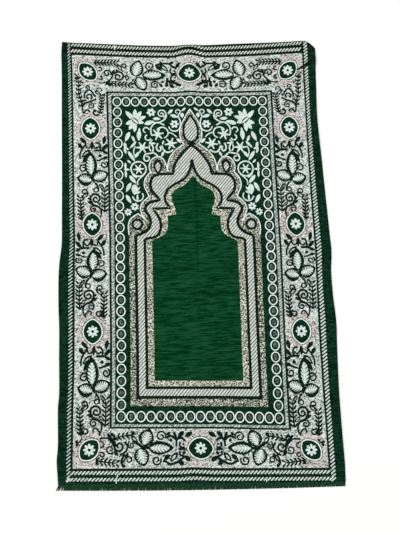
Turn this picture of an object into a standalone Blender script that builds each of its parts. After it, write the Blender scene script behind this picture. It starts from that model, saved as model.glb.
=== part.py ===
"""A prayer rug: one woven chenille sheet lying on the floor, with a short fringe along its foot.

It is drawn in millimetres, with zero at the middle of the woven pattern, +X to the rug's
right and +Y towards the tip of its arch. Each piece is then moved by ORIGIN_Y, so that the
origin lies on the floor under the middle of the whole rug, and turned to metres.
"""

import math
import random
from collections import namedtuple

import bpy

MM = 0.001
ORIGIN_Y = 6.2  # mm, where the middle of the rug's length lies in the drawing

# The sheet, in millimetres.
HALF_WIDTH = 330.0  # half the woven width, which the positions across the sheet count in
THICKNESS = 2.0
HEM = 25.0  # how far the head of the sheet is turned back under itself
HEM_GAP = 0.8  # air between the two layers of the hem
HEM_RISE = 35.0  # the length over which the sheet climbs onto its hem
FOLD_STEPS = 4  # faces round the fold of the hem
CURL_REACH = 20.0  # how far in from the selvedge a curl lifts the sheet

# The sheet's foot and the line of the fringe's tips: y = middle + skew * x + bow * x * x.
EdgeLine = namedtuple("EdgeLine", "middle skew bow")
FOOT = EdgeLine(-530.5, -0.0257, 0.0)
TIPS = EdgeLine(-546.3, -0.021, 0.00003)

# The fringe, in millimetres.
STRIP_GAP = 0.3  # between the sheet's foot and the strip that the locks are rooted in
STRIP_DEPTH = 2.4
STRIP_THICKNESS = 1.6
LOCK_PITCH = 4.0
LOCK_ROOT = 2.5  # width at the root
LOCK_TIP = 1.5  # width at the tip
LOCK_TIP_THICKNESS = 1.1
LOCK_LEAN = 0.9  # how far a tip may lean to either side
LOCK_UNEVEN = 1.4  # how much shorter a lock may be than the longest
CORNER_FLARE = 4.0  # how far the locks of the left corner lean outward
CORNER_REACH = 14.0  # the width of that corner
FRINGE_SEED = 7

# The selvedges of the lying sheet, from foot to head.
Section = namedtuple("Section", "y left right")
SECTIONS = (
    Section(-548, -329.5, 330.5),
    Section(-500, -332.0, 331.5),
    Section(-470, -334.0, 331.0),
    Section(-440, -331.0, 330.0),
    Section(-350, -331.0, 329.0),
    Section(-320, -328.0, 329.5),
    Section(-230, -328.0, 332.0),
    Section(-170, -328.0, 334.0),
    Section(-110, -330.0, 330.0),
    Section(-50, -330.0, 329.5),
    Section(-20, -328.5, 332.5),
    Section(10, -325.0, 333.5),
    Section(40, -321.5, 332.5),
    Section(130, -321.5, 329.0),
    Section(220, -321.5, 325.5),
    Section(340, -322.0, 320.5),
    Section(430, -322.0, 323.5),
    Section(520, -322.0, 326.5),
    Section(560, -320.0, 324.0),
)

# The folded head edge, by the position across the sheet. Its right corner is tucked under.
HeadPoint = namedtuple("HeadPoint", "across y")
HEAD = (
    HeadPoint(-330, 561.9),
    HeadPoint(-270, 557.5),
    HeadPoint(-110, 546.0),
    HeadPoint(0, 542.4),
    HeadPoint(130, 543.7),
    HeadPoint(250, 544.8),
    HeadPoint(305, 547.0),
    HeadPoint(318, 539.5),
    HeadPoint(330, 525.5),
)
TUCKED_POINTS = 3  # how many of them, at the right, lie round the tucked corner

# Soft ridges left by folding: straight lines over which the sheet stands off the floor.
Ridge = namedtuple("Ridge", "start end half_width start_height end_height")
RIDGES = (
    Ridge((3, -545), (3, 430), 26.0, 0.9, 1.3),
    Ridge((3, 440), (4, 560), 44.0, 1.0, 4.6),
    Ridge((-340, 2), (0, 4), 34.0, 1.6, 0.9),
    Ridge((0, 4), (340, -2), 34.0, 0.9, 1.8),
    Ridge((268, 459), (335, 495), 14.0, 0.5, 2.6),
)

# Stretches where a selvedge curls up from the floor.
Curl = namedtuple("Curl", "side y half_length height")
CURLS = (
    Curl(-1, 545, 90, 2.4),
    Curl(-1, 60, 120, 1.8),
    Curl(-1, -250, 130, 1.2),
    Curl(1, 330, 170, 2.2),
    Curl(1, -80, 90, 1.5),
    Curl(1, -400, 130, 1.2),
)

# Where the faces of the sheet lie: positions across one half, and steps along the length.
HALF_COLUMNS = (0, 9, 18, 30, 45, 75, 110, 145, 180, 215, 250, 280, 305, 312, 318, 324, 330)
COLUMNS = tuple(-across for across in reversed(HALF_COLUMNS[1:])) + HALF_COLUMNS
Stretch = namedtuple("Stretch", "start end step")
STRETCHES = (
    Stretch(0.000, 0.420, 0.030),
    Stretch(0.420, 0.600, 0.012),
    Stretch(0.600, 1.000, 0.025),
)
RISE_STEPS = 4
HEM_STEPS = 3

# Finishes, with their colours in linear light.
Finish = namedtuple("Finish", "colour roughness")
CHENILLE = Finish((0.006, 0.045, 0.017, 1.0), 0.95)
FRINGE_YARN = Finish((0.005, 0.028, 0.013, 1.0), 0.9)


def clear_scene():
    for thing in list(bpy.data.objects):
        bpy.data.objects.remove(thing, do_unlink=True)


def cloth_material(name, finish):
    material = bpy.data.materials.new(name)
    material.use_nodes = True
    shader = material.node_tree.nodes["Principled BSDF"]
    shader.inputs["Base Color"].default_value = finish.colour
    shader.inputs["Roughness"].default_value = finish.roughness
    shader.inputs["Metallic"].default_value = 0.0
    return material


def ease(share):
    """0 at 0 and 1 at 1, level at both ends."""
    share = min(1.0, max(0.0, share))
    return share * share * (3.0 - 2.0 * share)


def hump(offset, reach):
    """A soft rise of height 1 that ends level at the reach on either side."""
    share = abs(offset) / reach
    return (1.0 - share * share) ** 2 if share < 1.0 else 0.0


def smooth_through(rows, at, column):
    """The value of a table's column at a position of its first column, on a smooth curve."""
    places = [row[0] for row in rows]
    values = [getattr(row, column) for row in rows]
    at = min(places[-1], max(places[0], at))
    last = len(rows) - 1
    i = min(last - 1, max(k for k in range(last + 1) if places[k] <= at))

    def slope(k):
        low, high = max(0, k - 1), min(last, k + 1)
        return (values[high] - values[low]) / (places[high] - places[low])

    span = places[i + 1] - places[i]
    share = (at - places[i]) / span
    square, cube = share * share, share**3
    return (
        values[i] * (2 * cube - 3 * square + 1)
        + slope(i) * span * (cube - 2 * square + share)
        + values[i + 1] * (3 * square - 2 * cube)
        + slope(i + 1) * span * (cube - square)
    )


def edge_y(line, x):
    return line.middle + line.skew * x + line.bow * x * x


def head_y(across):
    """The folded edge, smooth up to the tucked corner and straight round it."""
    corner = HEAD[-TUCKED_POINTS:]
    if across < corner[0].across:
        return smooth_through(HEAD[: 1 - TUCKED_POINTS], across, "y")
    for low, high in zip(corner, corner[1:]):
        if across <= high.across:
            share = (across - low.across) / (high.across - low.across)
            return low.y + share * (high.y - low.y)
    return corner[-1].y


def sheet_x(across, y):
    left = smooth_through(SECTIONS, y, "left")
    right = smooth_through(SECTIONS, y, "right")
    return left + (across + HALF_WIDTH) / (2 * HALF_WIDTH) * (right - left)


def ridge_lift(ridge, x, y):
    """The height of a ridge over its line, with rounded ends."""
    (x0, y0), (x1, y1) = ridge.start, ridge.end
    run_x, run_y = x1 - x0, y1 - y0
    along = ((x - x0) * run_x + (y - y0) * run_y) / (run_x * run_x + run_y * run_y)
    along = min(1.0, max(0.0, along))
    away = math.hypot(x - x0 - along * run_x, y - y0 - along * run_y)
    height = ridge.start_height + (ridge.end_height - ridge.start_height) * ease(along)
    return height * hump(away, ridge.half_width)


def curl_lift(curl, x, y):
    edge = smooth_through(SECTIONS, y, "left" if curl.side < 0 else "right")
    inward = abs(edge - x)
    if inward > CURL_REACH:
        return 0.0
    return curl.height * hump(y - curl.y, curl.half_length) * (1.0 - inward / CURL_REACH) ** 2


def lift(x, y):
    """How far the cloth stands off the floor. Folds that cross don't add up."""
    ridges = max(ridge_lift(ridge, x, y) for ridge in RIDGES)
    curls = max(curl_lift(curl, x, y) for curl in CURLS)
    return max(ridges, curls)


def panel_places(foot, fold):
    """y of each row of faces, from the foot to where the fold of the hem begins."""
    level = fold - HEM - HEM_RISE
    shares = []
    for stretch in STRETCHES:
        steps = round((stretch.end - stretch.start) / stretch.step)
        shares += [stretch.start + k * (stretch.end - stretch.start) / steps for k in range(steps)]
    places = [foot + share * (level - foot) for share in shares]
    places += [level + k * HEM_RISE / RISE_STEPS for k in range(RISE_STEPS)]
    places += [fold - HEM + k * HEM / HEM_STEPS for k in range(HEM_STEPS + 1)]
    return places


def sheet_column(across):
    """The upper and the under skin of the sheet along one column, from the foot to the hem's end."""
    fold_out = THICKNESS + HEM_GAP / 2
    fold_in = HEM_GAP / 2
    fold = head_y(across) - fold_out
    foot = edge_y(FOOT, sheet_x(across, FOOT.middle))
    upper, under = [], []

    for y in panel_places(foot, fold):
        x = sheet_x(across, y)
        onto_hem = ease(1.0 - (fold - HEM - y) / HEM_RISE)
        low = lift(x, y) + onto_hem * (THICKNESS + HEM_GAP)
        upper.append((x, y, low + THICKNESS))
        under.append((x, y, low))

    x = sheet_x(across, fold)
    middle = lift(x, fold) + THICKNESS + HEM_GAP / 2
    for step in range(1, FOLD_STEPS):
        turn = math.pi * step / FOLD_STEPS
        for skin, radius in ((upper, fold_out), (under, fold_in)):
            skin.append((x, fold + radius * math.sin(turn), middle + radius * math.cos(turn)))

    for step in range(HEM_STEPS + 1):
        y = fold - step * HEM / HEM_STEPS
        x = sheet_x(across, y)
        low = lift(x, y)
        upper.append((x, y, low))
        under.append((x, y, low + THICKNESS))
    return upper, under


def closed_body(name, upper, under, faces, material):
    """One closed body from two skins of the same layout, walled in along their rim."""
    count = len(upper)
    sides = {(a, b) for face in faces for a, b in zip(face, face[1:] + face[:1])}
    rim = sorted((a, b) for a, b in sides if (b, a) not in sides)
    shell = list(faces)
    shell += [tuple(count + k for k in reversed(face)) for face in faces]
    shell += [(b, a, count + a, count + b) for a, b in rim]
    points = [(x * MM, (y - ORIGIN_Y) * MM, z * MM) for x, y, z in upper + under]
    mesh = bpy.data.meshes.new(name)
    mesh.from_pydata(points, [], shell)
    mesh.materials.append(material)
    mesh.validate()
    mesh.update()
    piece = bpy.data.objects.new(name, mesh)
    bpy.context.scene.collection.objects.link(piece)
    return piece


def make_cloth(material):
    """The sheet: its columns side by side, with the hem turned under at the head."""
    columns = [sheet_column(across) for across in COLUMNS]
    length = len(columns[0][0])
    upper = [point for column in columns for point in column[0]]
    under = [point for column in columns for point in column[1]]
    faces = []
    for i in range(len(columns) - 1):
        for k in range(length - 1):
            here, beside = i * length + k, (i + 1) * length + k
            faces.append((here, beside, beside + 1, here + 1))
    return closed_body("rug_cloth", upper, under, faces, material)


def make_fringe(material):
    """A comb: a narrow strip along the sheet's foot, with the locks rooted in it side by side."""
    draw = random.Random(FRINGE_SEED)
    count = int((2 * HALF_WIDTH - LOCK_ROOT) // LOCK_PITCH) + 1
    first = -(count - 1) * LOCK_PITCH / 2
    plan, heights, faces = [], [], []

    def add(x, y, height):
        plan.append((x, y))
        heights.append(height)
        return len(plan) - 1

    before = None
    for k in range(count):
        middle = first + k * LOCK_PITCH
        roots = []
        for x in (middle - LOCK_ROOT / 2, middle + LOCK_ROOT / 2):
            top = add(x, edge_y(FOOT, x) - STRIP_GAP, STRIP_THICKNESS)
            root = add(x, edge_y(FOOT, x) - STRIP_GAP - STRIP_DEPTH, STRIP_THICKNESS)
            roots.append((top, root))
        (left_top, left_root), (right_top, right_root) = roots
        faces.append((left_top, left_root, right_root, right_top))
        if before:
            faces.append((before[0], before[1], left_root, left_top))
        before = (right_top, right_root)

        tip = edge_y(TIPS, middle) + LOCK_UNEVEN * draw.random()
        lean = LOCK_LEAN * draw.uniform(-1.0, 1.0)
        corner = ease(1.0 - (middle + HALF_WIDTH) / CORNER_REACH)
        lean -= CORNER_FLARE * corner
        left_tip = add(middle + lean - LOCK_TIP / 2, tip, LOCK_TIP_THICKNESS)
        right_tip = add(middle + lean + LOCK_TIP / 2, tip, LOCK_TIP_THICKNESS)
        faces.append((left_root, left_tip, right_tip, right_root))

    upper = [(x, y, height) for (x, y), height in zip(plan, heights)]
    under = [(x, y, 0.0) for x, y in plan]
    return closed_body("bottom_fringe", upper, under, faces, material)


clear_scene()
make_cloth(cloth_material("chenille", CHENILLE))
make_fringe(cloth_material("fringe_yarn", FRINGE_YARN))
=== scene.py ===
"""The looks of the prayer rug: a woven chenille sheet with its pattern, and a cut fringe.

The rug's own drawing is in millimetres, with zero at the middle of the woven pattern, +X to the
rug's right and +Y towards the tip of the arch. The pattern is charted on a straight grid, as a
weaver has it, and is then laid with the stretch and skew that the cloth shows on the floor.
"""

import math
import random
from collections import namedtuple

import bpy
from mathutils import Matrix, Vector
from mathutils.geometry import delaunay_2d_cdt


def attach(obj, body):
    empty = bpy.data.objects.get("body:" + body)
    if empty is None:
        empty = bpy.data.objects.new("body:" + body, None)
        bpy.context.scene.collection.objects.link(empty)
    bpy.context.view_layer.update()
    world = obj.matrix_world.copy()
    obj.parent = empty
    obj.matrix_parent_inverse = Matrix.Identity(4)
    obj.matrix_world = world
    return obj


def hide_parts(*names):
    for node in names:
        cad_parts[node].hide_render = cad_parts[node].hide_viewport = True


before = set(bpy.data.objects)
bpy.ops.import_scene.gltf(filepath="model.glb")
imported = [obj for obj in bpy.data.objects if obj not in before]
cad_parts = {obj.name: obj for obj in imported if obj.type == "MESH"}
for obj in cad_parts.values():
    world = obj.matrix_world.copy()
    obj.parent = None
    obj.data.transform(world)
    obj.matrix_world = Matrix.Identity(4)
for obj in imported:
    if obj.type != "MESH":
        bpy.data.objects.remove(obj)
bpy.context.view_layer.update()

MM = 0.001

# ---------------------------------------------------------------- the sheet, in millimetres

ORIGIN_Y = 6.2  # where the middle of the rug's length lies in the drawing
HALF_WIDTH = 330.0
THICKNESS = 2.0
HEM = 25.0
HEM_GAP = 0.8
FOLD_OUTSIDE, FOLD_INSIDE = THICKNESS + HEM_GAP / 2, HEM_GAP / 2  # radii of the turned edge
HEM_RISE = 35.0
CURL_REACH = 20.0

EdgeLine = namedtuple("EdgeLine", "middle skew bow")
FOOT = EdgeLine(-530.5, -0.0257, 0.0)
TIPS = EdgeLine(-546.3, -0.021, 0.00003)

Section = namedtuple("Section", "y left right")
SELVEDGES = (
    Section(-548, -329.5, 330.5),
    Section(-500, -332.0, 331.5),
    Section(-470, -334.0, 331.0),
    Section(-440, -331.0, 330.0),
    Section(-350, -331.0, 329.0),
    Section(-320, -328.0, 329.5),
    Section(-230, -328.0, 332.0),
    Section(-170, -328.0, 334.0),
    Section(-110, -330.0, 330.0),
    Section(-50, -330.0, 329.5),
    Section(-20, -328.5, 332.5),
    Section(10, -325.0, 333.5),
    Section(40, -321.5, 332.5),
    Section(130, -321.5, 329.0),
    Section(220, -321.5, 325.5),
    Section(340, -322.0, 320.5),
    Section(430, -322.0, 323.5),
    Section(520, -322.0, 326.5),
    Section(560, -320.0, 324.0),
)

HeadPoint = namedtuple("HeadPoint", "across y")
HEAD = (
    HeadPoint(-330, 561.9),
    HeadPoint(-270, 557.5),
    HeadPoint(-110, 546.0),
    HeadPoint(0, 542.4),
    HeadPoint(130, 543.7),
    HeadPoint(250, 544.8),
    HeadPoint(305, 547.0),
    HeadPoint(318, 539.5),
    HeadPoint(330, 525.5),
)
TUCKED_POINTS = 3

Ridge = namedtuple("Ridge", "start end half_width start_height end_height")
RIDGES = (
    Ridge((3, -545), (3, 430), 26.0, 0.9, 1.3),
    Ridge((3, 440), (4, 560), 44.0, 1.0, 4.6),
    Ridge((-340, 2), (0, 4), 34.0, 1.6, 0.9),
    Ridge((0, 4), (340, -2), 34.0, 0.9, 1.8),
    Ridge((268, 459), (335, 495), 14.0, 0.5, 2.6),
)

Upcurl = namedtuple("Upcurl", "side y half_length height")
UPCURLS = (
    Upcurl(-1, 545, 90, 2.4),
    Upcurl(-1, 60, 120, 1.8),
    Upcurl(-1, -250, 130, 1.2),
    Upcurl(1, 330, 170, 2.2),
    Upcurl(1, -80, 90, 1.5),
    Upcurl(1, -400, 130, 1.2),
)

# How the straight chart lies: the left and right lines that frame the border, by y.
FRAME_LINES = (
    Section(-510, -299.5, 295.5),
    Section(-470, -299.0, 295.0),
    Section(-410, -298.0, 294.5),
    Section(-350, -297.0, 293.5),
    Section(-290, -295.0, 293.0),
    Section(-230, -294.0, 292.5),
    Section(-140, -293.5, 293.5),
    Section(-20, -292.5, 295.5),
    Section(40, -291.5, 295.5),
    Section(100, -292.5, 294.5),
    Section(200, -293.5, 293.5),
    Section(300, -294.5, 293.5),
    Section(430, -296.0, 294.0),
    Section(520, -298.0, 294.5),
    Section(560, -298.5, 294.5),
)
FRAME_HALF = 297.0  # where those lines are in the chart
MIDDLE_DRIFT = 4.0  # how far the chart's middle line bows to the right, half way up
MIDDLE_OFF, MIDDLE_REACH = -1.8, 540.0  # and where it lies that far up and down
HEAD_SAG = 11.5  # how far the pattern sags between the corners of the head
HEAD_BUMP = 6.5  # and rises again over the middle fold
BUMP_PLACE, BUMP_REACH = 3.0, 45.0
SAG_START, SAG_SPAN = 250.0, 275.0
SAG_HALF_WIDTH, SAG_TAPER = 300.0, 1.2  # it ends at the corners
HEM_TAKE, HEM_START, HEM_REACH = 2.5, 425.0, 40.0  # what the climb onto the hem takes up
FOOT_TILT = 0.0045  # how far the rows rise at the foot, for each millimetre across
TILT_START, TILT_REACH = -400.0, 100.0
FOOT_BUMP, FOOT_BUMP_PLACE = 2.2, -12.0  # how far they rise there over the middle fold
ROW_TILT = -0.0298  # how far a row half way up rises, for each millimetre across
ROW_FAN = 0.0000123  # and how much more so for each millimetre further up

LowSpot = namedtuple("LowSpot", "x y across along drop")
LOW_SPOT = LowSpot(185.0, -400.0, 150.0, 125.0, 3.0)  # a slack place, where the rows hang down


def held(value, low, high):
    """The value, or the limit that it goes past."""
    return min(high, max(low, value))


def ease(share):
    """0 at 0 and 1 at 1, level at both ends."""
    share = held(share, 0.0, 1.0)
    return share * share * (3.0 - 2.0 * share)


def hump(offset, reach):
    """A soft rise of height 1 that ends level at the reach on either side."""
    share = abs(offset) / reach
    return (1.0 - share * share) ** 2 if share < 1.0 else 0.0


def smooth_through(rows, at, column):
    """The value of a table's column at a position of its first column, on a smooth curve."""
    places = [row[0] for row in rows]
    values = [getattr(row, column) for row in rows]
    at = held(at, places[0], places[-1])
    last = len(rows) - 1
    i = min(last - 1, max(k for k in range(last + 1) if places[k] <= at))

    def slope(k):
        low, high = max(0, k - 1), min(last, k + 1)
        return (values[high] - values[low]) / (places[high] - places[low])

    span = places[i + 1] - places[i]
    share = (at - places[i]) / span
    square, cube = share * share, share**3
    return (
        values[i] * (2 * cube - 3 * square + 1)
        + slope(i) * span * (cube - 2 * square + share)
        + values[i + 1] * (3 * square - 2 * cube)
        + slope(i + 1) * span * (cube - square)
    )


def edge_y(line, x):
    return line.middle + line.skew * x + line.bow * x * x


def head_y(across):
    """The folded edge, smooth up to the tucked corner and straight round it."""
    corner = HEAD[-TUCKED_POINTS:]
    if across < corner[0].across:
        return smooth_through(HEAD[: 1 - TUCKED_POINTS], across, "y")
    for low, high in zip(corner, corner[1:]):
        if across <= high.across:
            share = (across - low.across) / (high.across - low.across)
            return low.y + share * (high.y - low.y)
    return corner[-1].y


def sheet_x(across, y):
    left = smooth_through(SELVEDGES, y, "left")
    right = smooth_through(SELVEDGES, y, "right")
    return left + (across + HALF_WIDTH) / (2 * HALF_WIDTH) * (right - left)


def across_at(x, y):
    """The position across the sheet that lies at x."""
    left = smooth_through(SELVEDGES, y, "left")
    right = smooth_through(SELVEDGES, y, "right")
    return (x - left) / (right - left) * 2 * HALF_WIDTH - HALF_WIDTH


def ridge_lift(ridge, x, y):
    """The height of a ridge over its line, with rounded ends."""
    (x0, y0), (x1, y1) = ridge.start, ridge.end
    run_x, run_y = x1 - x0, y1 - y0
    along = ((x - x0) * run_x + (y - y0) * run_y) / (run_x * run_x + run_y * run_y)
    along = held(along, 0.0, 1.0)
    away = math.hypot(x - x0 - along * run_x, y - y0 - along * run_y)
    height = ridge.start_height + (ridge.end_height - ridge.start_height) * ease(along)
    return height * hump(away, ridge.half_width)


def upcurl_lift(upcurl, x, y):
    edge = smooth_through(SELVEDGES, y, "left" if upcurl.side < 0 else "right")
    inward = abs(edge - x)
    if inward > CURL_REACH:
        return 0.0
    return upcurl.height * hump(y - upcurl.y, upcurl.half_length) * (1.0 - inward / CURL_REACH) ** 2


def lift(x, y):
    """How far the cloth stands off the floor. Folds that cross don't add up."""
    ridges = max(ridge_lift(ridge, x, y) for ridge in RIDGES)
    upcurls = max(upcurl_lift(upcurl, x, y) for upcurl in UPCURLS)
    return max(ridges, upcurls)


def fold_y(x, y):
    """Where the sheet starts to turn round its head fold, at x."""
    return head_y(across_at(x, y)) - FOLD_OUTSIDE


def sheet_low(x, y):
    """The underside of the sheet, which climbs onto its hem near the head."""
    onto_hem = ease(1.0 - (fold_y(x, y) - HEM - y) / HEM_RISE)
    return lift(x, y) + onto_hem * (THICKNESS + HEM_GAP)


def head_sag(x, y):
    """How far the straight rows of the chart are pulled down near the head."""
    if y < SAG_START:
        return 0.0
    weight = ((y - SAG_START) / SAG_SPAN) ** 2
    slack = max(0.0, 1.0 - (x / SAG_HALF_WIDTH) ** 2) ** SAG_TAPER
    return weight * (HEAD_BUMP * hump(x - BUMP_PLACE, BUMP_REACH) - HEAD_SAG * slack)


def lay(x, y):
    """Where a point of the straight chart comes to lie in the drawing."""
    at_foot = ease((TILT_START - y) / TILT_REACH)
    y += (
        head_sag(x, y)
        - HEM_TAKE * ease((y - HEM_START) / HEM_REACH)
        + at_foot * (FOOT_TILT * x + FOOT_BUMP * hump(x - FOOT_BUMP_PLACE, BUMP_REACH))
        - LOW_SPOT.drop * hump(x - LOW_SPOT.x, LOW_SPOT.across) * hump(y - LOW_SPOT.y, LOW_SPOT.along)
        + x * (ROW_TILT + ROW_FAN * y)
    )
    left = smooth_through(FRAME_LINES, y, "left")
    right = smooth_through(FRAME_LINES, y, "right")
    middle = MIDDLE_DRIFT * (1.0 - (y / MIDDLE_REACH) ** 2) + MIDDLE_OFF
    share = x / FRAME_HALF
    if abs(share) <= 1.0:
        left_part = left * share * (share - 1.0) / 2
        right_part = right * share * (share + 1.0) / 2
        return left_part + middle * (1.0 - share * share) + right_part, y
    beyond = (abs(x) - FRAME_HALF) / (HALF_WIDTH - FRAME_HALF)
    line, column = (left, "left") if x < 0 else (right, "right")
    return line + beyond * (smooth_through(SELVEDGES, y, column) - line), y


# ---------------------------------------------------------------- drawing shapes in the chart

CURVE_STEP = 4.0  # millimetres between the points of a drawn curve
LINE_STEP = 14.0  # the longest stretch of a long line before it bends with the cloth
TURN_STEP = 24.0  # degrees between the points of a round
DOT_STEP, EYE_STEP, CORE_STEP, RING_STEP = 60.0, 45.0, 30.0, 18.0  # fewer on small rounds
ROUNDING = 1e-6  # so that a fern's last pair of leaves isn't lost to a rounded sum

LEAF_STATIONS = (0.14, 0.34, 0.58, 0.8, 0.94)  # where a leaf's sides bend, as shares from its tip
LEAF_BELLY = 0.85  # below 1, the widest place is nearer the tip
LEAF_TAPER, PETAL_TAPER, DROP_TAPER = 0.85, 0.8, 0.75  # the lower, the fuller are the sides
SLIT_START, SLIT_END, SLIT_WIDTH = 0.26, 0.8, 0.36  # shares of a slit leaf's length and width

CURL_WIND = 0.42  # how much of its reach a curl loses in its first turn
CURL_TIGHTENS = 2.3  # and how much faster it loses it later
CURL_THINS, CURL_EYE = 0.8, 0.6  # its end's width and least reach, as shares of its width
CURL_GAP = 0.9  # between its turns

FERN_STEM, FERN_STEM_TIP = 0.9, 0.55  # a fern's stem, as shares of its leaves' width
FERN_SPLAY = 43  # degrees from its stem to its leaves

RIM_STATIONS = (0.02, 0.08, 0.18, 0.32, 0.48, 0.64, 0.8, 0.93)  # of a broad leaf, from its base
HEART_STATIONS = (0.13, 0.28, 0.46, 0.64, 0.82, 0.94)  # of its heart, from the leaf's base too
HEART_START = 0.07
BROAD_BELLY, BROAD_TAPER = 0.8, 0.7  # it is widest nearer its base
BARB_START, BARB_COUNT = 0.16, 6  # the barbs along each side of the heart
BARB_STOP = 0.06  # how far short of the heart's tip the last one is
BARB_LENGTH, BARB_WIDTH, BARB_RAKE = 10.0, 4.6, 5.5
BARB_ROOT, BARB_GAP = 1.0, 0.6  # how far it is rooted in the rim, and stays off the middle

PETAL_SHAPE = (1.0, 0.9, 0.6, 0.9)  # the reach round a flower, from one petal's tip to the next
FLOWER_EYE = 0.25
STAR_RAYS, RAY_HALF_TURN, STAR_WAIST = 6, 5, 0.34
BLOOM_OVERLAP = 6  # how far a bloom's petals run on past its middle
BLOOM_HEART, BLOOM_HEART_WIDTH, BLOOM_EYE_WIDTH = 13, 13, 6


def polar(x, y, reach, heading):
    turn = math.radians(heading)
    return x + reach * math.cos(turn), y + reach * math.sin(turn)


def between(start, end, share):
    """The point at a share of the way from start to end."""
    return tuple(a + share * (b - a) for a, b in zip(start, end))


def smooth_line(points):
    """Points close together on a smooth curve through the given ones."""
    if len(points) < 3:
        return list(points)
    out = []
    last = len(points) - 1
    for i in range(last):
        before, start = points[max(0, i - 1)], points[i]
        end, after = points[i + 1], points[min(last, i + 2)]
        steps = max(1, round(math.dist(start, end) / CURVE_STEP))
        for k in range(steps):
            t = k / steps
            out.append(tuple(
                0.5 * (2 * b + (c - a) * t + (2 * a - 5 * b + 4 * c - d) * t * t
                       + (3 * b - a - 3 * c + d) * t**3)
                for a, b, c, d in zip(before, start, end, after)
            ))
    out.append(tuple(points[last]))
    return out


def stroke(line, width, end_width=None):
    """The outline of a line of yarn that runs from one width to another."""
    end_width = width if end_width is None else end_width
    last = len(line) - 1
    left, right = [], []
    for i, (x, y) in enumerate(line):
        (x0, y0), (x1, y1) = line[max(0, i - 1)], line[min(last, i + 1)]
        run = math.hypot(x1 - x0, y1 - y0) or 1.0
        half = (width + (end_width - width) * i / last) / 2
        side_x, side_y = -(y1 - y0) / run * half, (x1 - x0) / run * half
        left.append((x + side_x, y + side_y))
        right.append((x - side_x, y - side_y))
    return left + right[::-1]


def long_line(points):
    """Straight runs cut into short ones, so that they bend with the cloth."""
    out = []
    for start, end in zip(points, points[1:]):
        steps = max(1, math.ceil(math.dist(start, end) / LINE_STEP))
        out += [between(start, end, k / steps) for k in range(steps)]
    out.append(tuple(points[-1]))
    return out


def box_outline(band):
    left, right = band.middle - band.half_width, band.middle + band.half_width
    corners = [(left, band.low), (right, band.low), (right, band.high), (left, band.high)]
    return long_line(corners + corners[:1])[:-1]


def round_outline(x, y, half_width, half_height, turn_step=TURN_STEP):
    steps = round(360 / turn_step)
    turns = [2 * math.pi * k / steps for k in range(steps)]
    return [(x + half_width * math.cos(turn), y + half_height * math.sin(turn)) for turn in turns]


def leaf_outline(tip_x, tip_y, base_x, base_y, width, taper=LEAF_TAPER):
    """A pointed leaf, widest nearer its tip."""
    run_x, run_y = base_x - tip_x, base_y - tip_y
    length = math.hypot(run_x, run_y)
    side_x, side_y = -run_y / length * width / 2, run_x / length * width / 2
    left, right = [], []
    for share in LEAF_STATIONS:
        swell = math.sin(math.pi * share**LEAF_BELLY) ** taper
        x, y = tip_x + share * run_x, tip_y + share * run_y
        left.append((x + swell * side_x, y + swell * side_y))
        right.append((x - swell * side_x, y - swell * side_y))
    return [(tip_x, tip_y)] + left + [(base_x, base_y)] + right[::-1]


def draw_leaf(leaf):
    return [("figure", leaf_outline(*leaf))]


def draw_slit_leaf(leaf):
    """A leaf with a slit of the ground showing down its middle."""
    tip, base = (leaf.tip_x, leaf.tip_y), (leaf.base_x, leaf.base_y)
    slit = between(tip, base, SLIT_START) + between(tip, base, SLIT_END)
    return [
        ("figure", leaf_outline(*leaf)),
        ("ground", leaf_outline(*slit, leaf.width * SLIT_WIDTH)),
    ]


def draw_stem(stem):
    end_width = stem.end_width or stem.width
    return [("figure", stroke(smooth_line(stem.points), stem.width, end_width))]


def draw_curl(curl):
    """A curl of yarn that winds inward from its heading, to a small eye."""
    steps = max(4, round(curl.turns * 360 / TURN_STEP))
    widest = curl.radius - curl.width / 2
    wind = max(CURL_WIND, (curl.width + CURL_GAP) / widest) if curl.turns > 1 else CURL_WIND
    line = []
    for k in range(steps + 1):
        turned = curl.turns * k / steps
        reach = max(curl.width * CURL_EYE, widest * (1.0 - wind * turned**CURL_TIGHTENS))
        line.append(polar(curl.x, curl.y, reach, curl.heading + curl.hand * 360 * turned))
    return [("figure", stroke(line, curl.width, curl.width * CURL_THINS))]


def draw_dot(dot):
    return [("figure", round_outline(dot.x, dot.y, dot.radius, dot.radius, DOT_STEP))]


def draw_ring(ring):
    inside = ring.radius - ring.width
    return [
        ("figure", round_outline(ring.x, ring.y, ring.radius, ring.radius)),
        ("ground", round_outline(ring.x, ring.y, inside, inside)),
    ]


def draw_fern(fern):
    """A stem with pairs of narrow leaves that point forward along it."""
    line = smooth_line(fern.points)
    shapes = [("figure", stroke(line, fern.width * FERN_STEM, fern.width * FERN_STEM_TIP))]
    run = [0.0]
    for start, end in zip(line, line[1:]):
        run.append(run[-1] + math.dist(start, end))
    pairs = max(1, round(run[-1] / fern.pitch))
    for pair in range(pairs + 1):
        along = pair * run[-1] / pairs
        i = max(k for k in range(len(line) - 1) if run[k] <= along + ROUNDING)
        start, end = line[i], line[i + 1]
        x, y = between(start, end, (along - run[i]) / (run[i + 1] - run[i]))
        heading = math.degrees(math.atan2(end[1] - start[1], end[0] - start[0]))
        for side in (-1, 1):
            tip = polar(x, y, fern.reach, heading + side * FERN_SPLAY)
            shapes.append(("figure", leaf_outline(*tip, x, y, fern.width)))
    return shapes


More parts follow.
